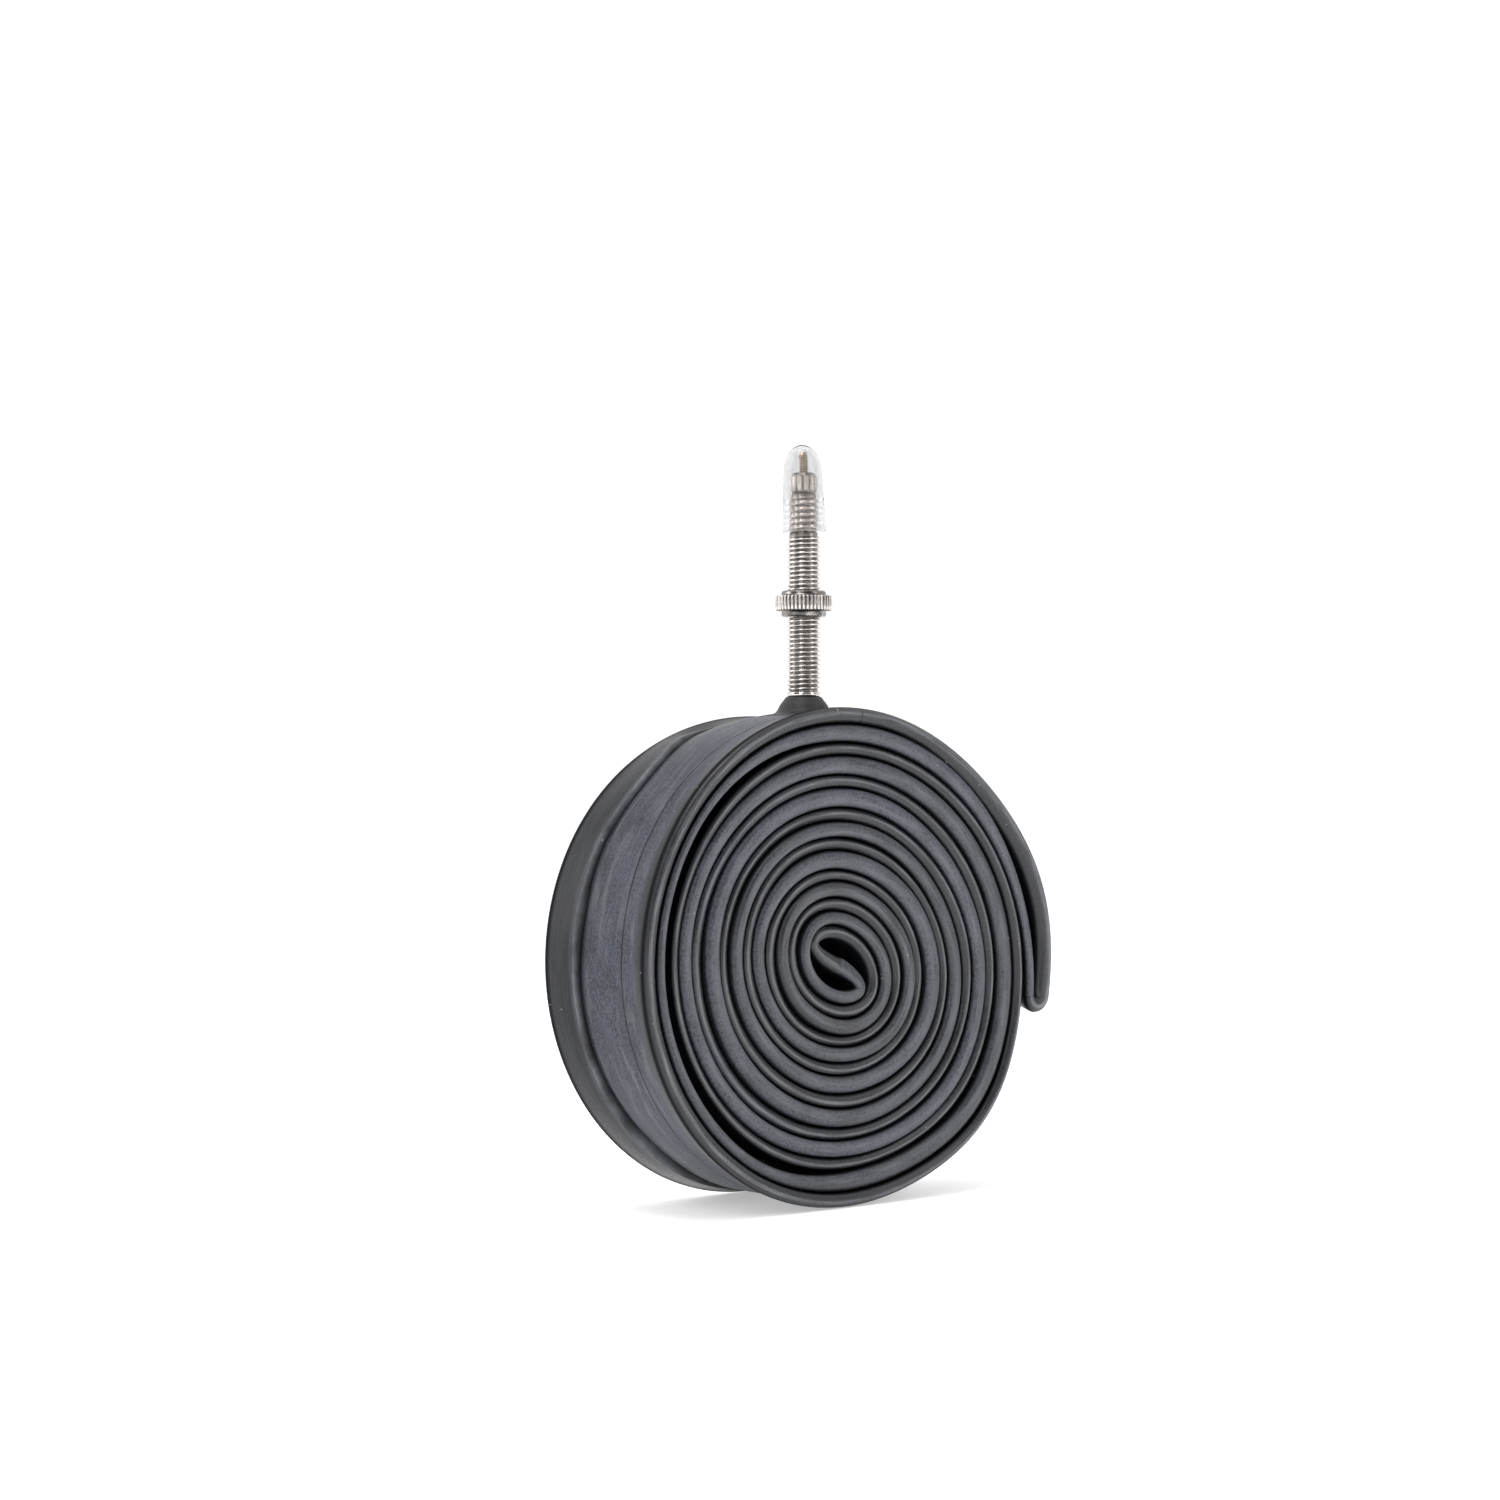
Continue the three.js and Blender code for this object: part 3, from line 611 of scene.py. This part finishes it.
# ---------------- finishes
def rubber_finish(settings, splice):
    """Butyl: charcoal with a bluish bloom of talc, drawn lines lengthwise, rubbed crests that
    carry a painted highlight, painted shade in the gaps and the pleat, a mould line along the
    outer turn, a few specks of lint, and the splice across the strip, at that many millimetres
    along it."""
    shader = Shader("Butyl rubber")
    place = shader.place()
    strip = shader.node("UVMap", settings={"uv_map": "strip"})
    dust, panel, rub_and_highlight, gap = [shader.node("Attribute", 2, {"attribute_name": mark})
                             for mark in ("dust", "panel", "rub_and_highlight", "gap")]

    def lengthwise(stretch, scale, detail):
        drawn = shader.node("VectorMath", settings={"operation": "MULTIPLY"}, i0=strip,
                            i1=(stretch, 1.0, 1.0))
        return shader.noise(drawn, scale, detail, 0.6)

    drawn, streaks = lengthwise(0.05, 2600, 4), lengthwise(0.16, 620, 5)
    cloud = shader.noise(place, 170, 4, 0.6)
    grain = shader.noise(place, 2100, 3, 0.7)
    bloom = shader.math("MULTIPLY", dust, shader.ramp(cloud, 0.3, 0.7, 0.5, 1.2))
    bloom = shader.math("MULTIPLY", bloom, shader.ramp(grain, 0.4, 0.62, 0.25, 1.75))
    bloom = shader.math("ADD", bloom, shader.ramp(drawn, 0.35, 0.75, -0.1, 0.22), clamp=True)
    colour = shader.mix(bloom, rgba(settings.dark), rgba(settings.dusty))
    brushed = shader.math("MULTIPLY", shader.ramp(streaks, 0.5, 0.7, 0, 0.75), panel)
    brushed = shader.math("MULTIPLY", brushed, dust)
    colour = shader.mix(brushed, colour, rgba(BRUSHED))
    # Pale rubbed crests, partly wear and partly painted highlight.
    worn = shader.math("MULTIPLY", rub_and_highlight, shader.ramp(drawn, 0.3, 0.6, 0.3, 1.0))
    worn = shader.math("MULTIPLY", worn, shader.ramp(streaks, 0.32, 0.56, 0.35, 1.0))
    colour = shader.mix(worn, colour, rgba(WORN_AND_HIGHLIGHT))
    # Painted shade: near black in the gaps between layers and in the pleat.
    colour = shader.mix(shader.math("MULTIPLY", gap, 0.92), colour, rgba(PAINTED_DEPTH_SHADE))

    across = shader.node("SeparateXYZ", 1, i0=place)
    off_line = shader.math("ABSOLUTE", shader.math("ADD", across, -MOULD_LINE_Y * MM))
    line = shader.math("MULTIPLY", shader.ramp(off_line, 0.06 * MM, 0.22 * MM, 1, 0), panel)
    colour = shader.mix(shader.math("MULTIPLY", line, 0.8), colour, rgba(MOULD_LINE))
    along = shader.math("ADD", shader.node("SeparateXYZ", 0, i0=strip), -splice * MM)
    along = shader.math("ADD", along, shader.math("MULTIPLY", cloud, 0.9 * MM))
    joint = shader.ramp(shader.math("ABSOLUTE", along), 0.05 * MM, 0.2 * MM, 1, 0)
    joint = shader.math("MULTIPLY", joint, shader.ramp(
        across, SPLICE_END_Y[0] * MM, SPLICE_END_Y[1] * MM, 1, 0))
    colour = shader.mix(shader.math("MULTIPLY", joint, 0.85), colour, rgba(SPLICE))

    lint = shader.node("TexVoronoi", 0, {"feature": "F1"}, Vector=place, Scale=430)
    lint = shader.ramp(lint, 0.03, 0.075, 1, 0)
    lint = shader.math("MULTIPLY", lint, shader.ramp(shader.noise(place, 110, 1), 0.57, 0.61))
    colour = shader.mix(shader.math("MULTIPLY", lint, 0.7), colour, rgba(LINT))

    rough = shader.math("ADD", shader.ramp(bloom, 0.0, 1.0, 0.29, 0.46),
                        shader.ramp(grain, 0.3, 0.7, -0.04, 0.06))
    rough = shader.math("ADD", rough, shader.math("MULTIPLY", gap, 0.3))
    height = shader.math("ADD", shader.math("MULTIPLY", drawn, 0.6),
                         shader.math("MULTIPLY", grain, 0.5))
    height = shader.math("SUBTRACT", height, shader.math("MULTIPLY", line, 2.5))
    height = shader.math("SUBTRACT", height, shader.math("MULTIPLY", joint, 2.5))
    sheen = shader.math("MULTIPLY", shader.ramp(panel, 0, 1, 0.5, 0.16),
                        shader.ramp(gap, 0.1, 0.9, 1, 0.1))
    return shader.finish(Base_Color=colour, Roughness=rough, Specular_IOR_Level=sheen,
                         Normal=shader.bump(height, 0.08 * MM, 1.0))


def moulded_rubber_finish(name, tone):
    """Moulded rubber: nearly black, with the fine tooth of the mould and paler rubbed spots."""
    shader = Shader(name, Specular_IOR_Level=0.3)
    place = shader.place()
    tooth = shader.noise(place, 3200, 4, 0.7)
    cloud = shader.noise(place, 420, 3, 0.6)
    worn = shader.ramp(cloud, 0.42, 0.72, 0.0, 0.7)
    colour = shader.mix(worn, rgba(tone), rgba([2.4 * t for t in tone]))
    return shader.finish(Base_Color=colour, Roughness=shader.ramp(tooth, 0.3, 0.7, 0.42, 0.6),
                         Normal=shader.bump(tooth, 0.04 * MM, 0.6))


def metal_finish(name, colour, groove_shade_colour, crest, root, rough=(0.13, 0.24)):
    """Plated metal: bright crests, painted shade that darkens the grooves by the distance from the
    valve's axis, fine turning marks and a little handling dirt."""
    shader = Shader(name, Metallic=1.0)
    place = shader.place()
    x, y = [shader.node("SeparateXYZ", k, i0=place) for k in range(2)]
    x = shader.math("SUBTRACT", x, VALVE_X)
    out = shader.math("SQRT", shader.math("ADD", shader.math("MULTIPLY", x, x),
                                          shader.math("MULTIPLY", y, y)))
    deep = shader.ramp(out, root * MM, crest * MM, 1, 0)
    smudge = shader.noise(place, 520, 4, 0.6)
    turning = shader.noise(shader.node("VectorMath", settings={"operation": "MULTIPLY"},
                                       i0=place, i1=(0.15, 0.15, 1.0)), 9000, 2, 0.5)
    # Painted shade in the thread grooves and flutes, mottled by the smudges, in the dark colour
    # given.
    painted_groove_shade = shader.math("MULTIPLY", deep, shader.ramp(smudge, 0.3, 0.65, 0.45, 1.0))
    tint = shader.mix(painted_groove_shade, rgba(colour), rgba(groove_shade_colour))
    tint = shader.mix(shader.ramp(smudge, 0.55, 0.8, 0, 0.35), tint,
                      rgba([0.72 * c for c in colour]))
    roughness = shader.math("ADD", shader.ramp(smudge, 0.35, 0.7, *rough),
                            shader.math("MULTIPLY", deep, 0.12))
    return shader.finish(Base_Color=tint, Roughness=roughness,
                         Normal=shader.bump(turning, 0.006 * MM, 0.5))


def clear_finish():
    """Clear moulded plastic, with painted shade that greys it where it is seen edge on, and faint
    scuffs.
    """
    shader = Shader("Clear plastic", Transmission_Weight=0.96, IOR=1.3)
    place = shader.place()
    # Painted shade: the colour turns grey where the cap is seen edge on.
    edge = shader.node("LayerWeight", 1, Blend=0.3)
    tint = shader.mix(shader.ramp(edge, 0.5, 0.85), rgba((0.8, 0.8, 0.81)),
                      rgba((0.3, 0.305, 0.32)))
    scuff = shader.noise(place, 700, 4, 0.6)
    return shader.finish(Base_Color=tint, Roughness=shader.ramp(scuff, 0.45, 0.75, 0.01, 0.06),
                         Normal=shader.bump(scuff, 0.02 * MM, 0.4))


def floor_finish(colour):
    """Matt pale floor with the faintest mottling and a little light of its own."""
    shader = Shader("Pale floor", Roughness=0.9, Specular_IOR_Level=0.1,
                    Emission_Color=rgba((1.0, 1.0, 1.0)), Emission_Strength=0.4)
    mottle = shader.ramp(shader.noise(shader.place(), 6, 3), 0.3, 0.7, 0, 0.4)
    return shader.finish(Base_Color=shader.mix(mottle, rgba(colour),
                                               rgba([0.985 * c for c in colour])))


def wall_finish():
    """Evenly lit white paper behind the object."""
    shader = Shader("Backdrop paper", Base_Color=rgba((0.0, 0.0, 0.0)), Roughness=1.0,
                    Specular_IOR_Level=0.0, Emission_Color=rgba((1.0, 1.0, 1.0)),
                    Emission_Strength=1.1)
    return shader.finish()


# ---------------- operators
class BuildTube(bpy.types.Operator):
    """Winds the flattened tube into its roll."""

    bl_idname = "inner_tube.tube"
    bl_label = "Wound tube"

    def execute(self, context):
        settings = context.scene.tube_roll
        points, course, around = strip_surface(settings)
        rows, columns = points.shape[:2]
        piece = build_mesh("wound_tube", points * MM, sweep_faces(rows, columns, True),
                           strip_uv(course, around, rows, columns),
                           strip_marks(points, course))
        outward = course["arm"] == 0
        splice = np.interp(SPLICE_WINDING_DEG, course["winding"][outward],
                           course["length"][outward])
        settle(piece, ROOT_BODY, "butyl_rubber", rubber_finish(settings, splice), "tube")
        return {"FINISHED"}


def tube_top(x, y):
    """Height of the wound tube's face below each point, in millimetres above the base's top."""
    heights = np.empty(x.shape)
    for at in np.ndindex(x.shape):
        start = (VALVE_X + x[at] * MM, y[at] * MM, BASE_HIGH)
        found, point, _, _ = bpy.data.objects["wound_tube"].ray_cast(start, (0, 0, -1))
        if not found:
            raise RuntimeError("The wound tube doesn't reach under the rubber base")
        heights[at] = (point.z - BASE_HIGH) / MM
    return heights


class BuildBase(bpy.types.Operator):
    """Moulds the rubber base round the stem and dresses the two seals."""

    bl_idname = "inner_tube.base"
    bl_label = "Rubber base and seals"

    def execute(self, context):
        context.view_layer.update()
        profile = [(2.3, -0.3), (2.9, 0.0), (3.02, 0.03), (3.2, -0.08), (3.5, -0.5),
                   (3.86, -0.95), (4.16, -1.35), (4.42, -1.8), (4.68, -2.25), (5.0, -2.6),
                   (5.5, -2.82), (BASE_JOIN, -2.93)]
        upper = turned_grid(profile, BASE_COLUMNS)
        skirt = turned_grid([(BASE_JOIN, 0), (6.9, 0), (7.8, 0), (8.7, 0), (BASE_EDGE, 0)],
                            BASE_COLUMNS)
        lift = np.array([0.0, 0.12, 0.07, 0.03, -0.3])[:, None]
        skirt[..., 2] = tube_top(skirt[..., 0], skirt[..., 1]) + lift
        join = smoothstep(np.linalg.norm(upper[..., :2], axis=-1), 4.2, BASE_JOIN)
        upper[..., 2] = upper[..., 2] * (1 - join) + join * (
            tube_top(upper[..., 0], upper[..., 1]) + 0.16)
        skirt[0] = upper[-1]
        under = turned_grid([(BASE_EDGE, 0), (2.3, 0), (2.3, -0.3)], BASE_COLUMNS)
        under[0] = skirt[-1]
        under[1, :, 2] = BASE_UNDER
        piece = valve_piece("rubber_base", [(np.concatenate([upper, skirt[1:], under[1:]]), 0)])
        material = moulded_rubber_finish("Moulded rubber", (0.016, 0.016, 0.017))
        settle(piece, ROOT_BODY, "moulded_rubber", material, "valve_base")
        seal = moulded_rubber_finish("Seal rubber", (0.012, 0.012, 0.012))
        for node in ("core_gasket", "pin_seal"):
            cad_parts[node].data.materials.clear()
            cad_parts[node].data.materials.append(seal)
        return {"FINISHED"}


class BuildStem(bpy.types.Operator):
    """Turns the threaded stem with its bore."""

    bl_idname = "inner_tube.stem"
    bl_label = "Threaded stem"

    def execute(self, context):
        settings, columns = context.scene.tube_valve, STEM_COLUMNS
        foot = turned_grid([(1.5, -2.3), (2.5, -2.3), (2.5, 0.0), (2.78, 0.06), (2.9, 0.2),
                            (2.9, 0.72), (2.8, 0.86), (2.48, 0.95)], columns)
        thread = thread_grid(2.48, 0.49, settings.stem_pitch, 0.95, 28.55, columns)
        neck = turned_grid([(2.48, 28.55), (2.5, 28.6), (2.5, 29.0), (2.42, 29.1), (2.15, 29.1),
                            (2.15, 15.2), (1.5, 14.4), (1.5, -2.3)], columns)
        piece = valve_piece("threaded_stem", [(foot, 0), thread, (neck, 0)])
        material = metal_finish("Nickel plate", settings.nickel, (0.09, 0.084, 0.078), 2.86, 2.5)
        settle(piece, ROOT_BODY, "nickel_plate", material, "valve_stem")
        return {"FINISHED"}


class BuildRimNut(bpy.types.Operator):
    """Turns and flutes the rim nut."""

    bl_idname = "inner_tube.rim_nut"
    bl_label = "Rim nut"

    def execute(self, context):
        settings = context.scene.tube_valve
        columns = settings.flutes * COLUMNS_PER_FLUTE

        def fluted(radius, angle):
            """Square-sided flutes cut into the band and running out at its two edges."""
            groove = 1 - smoothstep(np.cos(settings.flutes * angle), -0.35, 0.15)
            band = smoothstep(radius, 4.55, 4.8)
            return radius - RIM_FLUTE_DEPTH * groove * band

        shoulder_low = arc(3.6, 14.5, 0.36, -90, 0, 4)
        shoulder_high = arc(3.45, 18.3, 0.5, 0, 90, 5)
        band = [(4.3, 15.16), (4.72, 15.22), (4.95, 15.32), (5.03, 15.46), (5.05, 16.1),
                (5.05, 17.0), (5.03, 17.68), (4.95, 17.82), (4.72, 17.92), (4.3, 17.98)]
        profile = [(3.2, 14.1), (3.3, 14.1), *shoulder_low, (3.96, 15.1), *band, (3.96, 18.02),
                   *shoulder_high, (3.3, 18.8), (3.2, 18.7), (3.02, 18.4), (3.16, 18.0),
                   (3.02, 17.6), (3.16, 17.2), (3.02, 16.4), (3.16, 15.8), (3.02, 15.2),
                   (3.16, 14.8), (3.2, 14.1)]
        piece = valve_piece("rim_nut_skin", [(turned_grid(profile, columns, fluted), 0)])
        material = metal_finish("Bright nickel", settings.nickel, (0.03, 0.028, 0.026), 5.0, 4.78,
                                (0.12, 0.24))
        settle(piece, "rim_nut", "nickel_plate", material, "rim_nut")
        return {"FINISHED"}


class BuildCore(bpy.types.Operator):
    """Turns the core's threaded nose, the pin through it and the lock nut on the pin."""

    bl_idname = "inner_tube.core"
    bl_label = "Nose, pin and lock nut"

    def execute(self, context):
        settings, columns = context.scene.tube_valve, STEM_COLUMNS
        shank = turned_grid([(0.98, 16.0), (1.6, 16.0), (2.0, 16.5), (2.0, 16.7), (1.45, 16.7),
                             (1.45, 18.1), (2.0, 18.1), (2.0, 29.12), (2.3, 29.2),
                             (2.2, 29.35)], columns)
        points, shear = thread_grid(2.2, 0.35, settings.nose_pitch, 29.35, 35.5, columns)
        points[..., 0] = np.clip(points[..., 0], -2.3, 2.3)
        crown = turned_grid([(2.2, 35.5), (2.3, 35.62), (2.16, 35.86), (1.9, 35.9),
                             (0.98, 35.9), (0.98, 16.0)], columns)
        nose = valve_piece("threaded_nose", [(shank, 0), (points, shear), (crown, 0)])
        warm = metal_finish("Warm nickel", settings.warm_nickel, (0.06, 0.054, 0.048), 2.48, 2.24)
        settle(nose, ROOT_BODY, "warm_nickel", warm, "core_body")

        columns = PIN_COLUMNS
        rod = turned_grid([(0, 12.4), (1.0, 12.4), (1.0, 13.0), (0.6, 13.0), (0.6, 32.5),
                           (0.66, 32.6)], columns)
        points, shear = thread_grid(0.66, 0.2, settings.pin_pitch, 32.6, 43.0, columns, 8)
        tip = turned_grid([(0.66, 43.0), (0.62, 43.2), (0.4, 43.3), (0, 43.3)], columns)
        grids = [(rod, 0), (points, shear), (tip, 0)]
        for grid, _ in grids:
            grid[..., 0] -= PIN_BEND * np.clip(grid[..., 2] - PIN_BEND_FROM, 0, None) ** 2
        pin = valve_piece("threaded_pin", grids)
        brass = metal_finish("Brass", settings.brass, (0.14, 0.1, 0.06), 0.8, 0.66)
        settle(pin, "valve_pin", "brass", brass, "core_pin")

        def fluted(radius, angle):
            """Round-bottomed flutes down the nut's side."""
            groove = np.clip(-np.cos(LOCK_FLUTES * angle), 0, 1)
            return radius - LOCK_FLUTE_DEPTH * groove * smoothstep(radius, 2.1, 2.3)

        profile = [(0.92, 35.96), (1.9, 35.96), (2.05, 36.05), (2.1, 36.3), (2.3, 36.42),
                   (2.38, 36.55), (2.38, 37.6), (2.38, 38.7), (2.34, 38.95), (2.2, 39.1),
                   (2.0, 39.2), (1.86, 39.5), (1.7, 39.6), (0.98, 39.6), (0.92, 39.4),
                   (0.92, 35.96)]
        nut = valve_piece("fluted_lock_nut", [(turned_grid(profile, LOCK_COLUMNS, fluted), 0)])
        tan = metal_finish("Lock nut plate", settings.warm_nickel, (0.09, 0.075, 0.06), 2.36, 2.14)
        settle(nut, "lock_nut", "warm_nickel", tan, "lock_nut")
        return {"FINISHED"}


class BuildCap(bpy.types.Operator):
    """Moulds the clear cap, with the thread inside its mouth and its slight lean."""

    bl_idname = "inner_tube.cap"
    bl_label = "Clear cap"

    def execute(self, context):
        columns = CAP_COLUMNS
        angle = np.radians(np.linspace(90, 0, 13))
        dome = np.stack([3.4 * np.cos(angle), 39.4 + 5.2 * np.sin(angle)], axis=1)
        dome[0, 0] = 0
        skirt = [(3.5, 38.0), (3.62, 35.6), (3.6, 35.3), (3.66, 35.1), (3.76, 32.0),
                 (3.86, 29.7), (3.84, 29.35), (3.7, 29.22), (3.1, 29.22), (2.9, 29.5)]
        outside = turned_grid([*dome, *skirt], columns)
        ridges = thread_grid(2.9, CAP_THREAD_DEPTH, NOSE_PITCH, 29.5, 34.9, columns)
        inner = np.radians(np.linspace(0, 90, 10))
        vault = np.stack([2.7 * np.cos(inner), 39.8 + 4.05 * np.sin(inner)], axis=1)
        vault[-1, 0] = 0
        ledge = [(2.9, 34.9), (2.9, 35.1), (2.85, 35.3), (2.8, 36.8)]
        inside = turned_grid([*ledge, *vault], columns)
        lean = math.radians(CAP_LEAN_DEG)
        grids = [(outside, 0), ridges, (inside, 0)]
        for grid, _ in grids:
            x, z = grid[..., 0].copy(), grid[..., 2] - CAP_LEAN_AT
            grid[..., 0] = x * math.cos(lean) + z * math.sin(lean)
            grid[..., 2] = CAP_LEAN_AT - x * math.sin(lean) + z * math.cos(lean)
        settle(valve_piece("clear_cap", grids), "dust_cap", "clear_plastic", clear_finish(),
               "dust_cap")
        return {"FINISHED"}


def room_light(ahead, settings):
    """Even light of a pale studio: brightest on the wall ahead of the camera, dimmer behind it,
    by the cosine between a direction and the camera's heading, and bright again overhead."""
    world = bpy.data.worlds.new("Studio room")
    world.use_nodes = True
    tree = world.node_tree
    background = tree.nodes["Background"]
    place = tree.nodes.new("ShaderNodeTexCoord")
    facing = tree.nodes.new("ShaderNodeVectorMath")
    facing.operation = "DOT_PRODUCT"
    facing.inputs[1].default_value = (*ahead.xy, ROOM_OVERHEAD)
    level = tree.nodes.new("ShaderNodeMapRange")
    level.interpolation_type = "SMOOTHSTEP"
    for name, value in (("From Min", ROOM_DIM_BELOW), ("From Max", ROOM_BRIGHT_ABOVE),
                        ("To Min", settings.dim), ("To Max", settings.sky)):
        level.inputs[name].default_value = value
    tree.links.new(place.outputs["Generated"], facing.inputs[0])
    tree.links.new(facing.outputs["Value"], level.inputs["Value"])
    tree.links.new(level.outputs["Result"], background.inputs["Strength"])
    background.inputs["Color"].default_value = (1, 1, 1, 1)
    return world


class BuildStage(bpy.types.Operator):
    """Lays the pale floor inside a round paper backdrop, which only the camera sees, hangs the
    soft lights and sets up the camera."""

    bl_idname = "inner_tube.stage"
    bl_label = "Floor, light and camera"

    def execute(self, context):
        settings = context.scene.tube_stage
        scene = context.scene
        corners = [(FLOOR_HALF * x, FLOOR_HALF * y, 0) for x, y in
                   ((-1, -1), (1, -1), (1, 1), (-1, 1))]
        mesh = bpy.data.meshes.new("floor")
        mesh.from_pydata(corners, [], [(0, 1, 2, 3)])
        floor = bpy.data.objects.new("floor", mesh)
        scene.collection.objects.link(floor)
        mesh.materials.append(floor_finish(settings.floor))
        ring = turned_grid([(WALL_RADIUS, WALL_LOW), (WALL_RADIUS, WALL_HIGH)], WALL_SIDES)
        wall = build_mesh("backdrop", ring, sweep_faces(2, WALL_SIDES))
        wall.data.materials.append(wall_finish())
        wall.visible_diffuse = wall.visible_glossy = wall.visible_shadow = False

        a = math.radians(settings.azimuth)
        right = Vector((math.cos(a), math.sin(a), 0))
        ahead = Vector((-math.sin(a), math.cos(a), 0))
        scene.world = room_light(ahead, settings)
        scene.view_settings.view_transform = "Standard"
        target = Vector((VALVE_X, 0, TARGET_HEIGHT))
        # name, place from the target, width and height in metres, watts
        lamps = (
            ("left_panel", -0.85 * right + 0.05 * ahead + Vector((0, 0, 0.35)), 0.4, 0.7, 3.0),
            ("left_strip", -0.36 * right - 0.85 * ahead + Vector((0, 0, 0.4)), 0.3, 0.9, 2.4),
            ("right_strip", 0.75 * right - 0.36 * ahead + Vector((0, 0, 0.3)), 0.3, 0.9, 2.2),
            ("top_panel", -0.15 * right - 0.25 * ahead + Vector((0, 0, 0.9)), 0.4, 0.4, 3.5),
        )
        for name, offset, width, height, power in lamps:
            lamp = bpy.data.lights.new(name, "AREA")
            lamp.shape = "RECTANGLE"
            lamp.size, lamp.size_y, lamp.energy = width, height, power
            hung = bpy.data.objects.new(name, lamp)
            hung.location = target + offset
            hung.rotation_euler = (-offset).to_track_quat("-Z", "Y").to_euler()
            scene.collection.objects.link(hung)

        camera = bpy.data.cameras.new("camera")
        camera.lens, camera.sensor_width = settings.lens, 36.0
        eye = bpy.data.objects.new("camera", camera)
        eye.location = (Vector((VALVE_X, 0, settings.eye_height)) - VALVE_OFF_CENTRE * right
                        - settings.distance * ahead)
        eye.rotation_euler = ahead.to_track_quat("-Z", "Y").to_euler()
        scene.collection.objects.link(eye)
        scene.camera = eye
        return {"FINISHED"}


class InnerTubePanel(bpy.types.Panel):
    """Lists the builders in the sidebar."""

    bl_idname = "VIEW3D_PT_inner_tube"
    bl_label = "Inner tube"
    bl_space_type = "VIEW_3D"
    bl_region_type = "UI"
    bl_category = "Inner tube"

    def draw(self, context):
        for builder in BUILDERS:
            self.layout.operator(builder.bl_idname)
        for group in (context.scene.tube_roll, context.scene.tube_valve,
                      context.scene.tube_stage):
            for name in group.__annotations__:
                self.layout.prop(group, name)


SETTINGS = {"tube_roll": RollSettings, "tube_valve": ValveSettings, "tube_stage": StageSettings}
BUILDERS = (BuildTube, BuildBase, BuildStem, BuildRimNut, BuildCore, BuildCap, BuildStage)


def register():
    for group in (*SETTINGS.values(), *BUILDERS, InnerTubePanel):
        bpy.utils.register_class(group)
    for name, group in SETTINGS.items():
        setattr(bpy.types.Scene, name, PointerProperty(type=group))


def unregister():
    for name in SETTINGS:
        delattr(bpy.types.Scene, name)
    for group in (InnerTubePanel, *reversed(BUILDERS), *SETTINGS.values()):
        bpy.utils.unregister_class(group)


def main():
    register()
    bpy.ops.inner_tube.tube()
    bpy.ops.inner_tube.base()
    bpy.ops.inner_tube.stem()
    bpy.ops.inner_tube.rim_nut()
    bpy.ops.inner_tube.core()
    bpy.ops.inner_tube.cap()
    bpy.ops.inner_tube.stage()


if __name__ == "__main__":
    main()
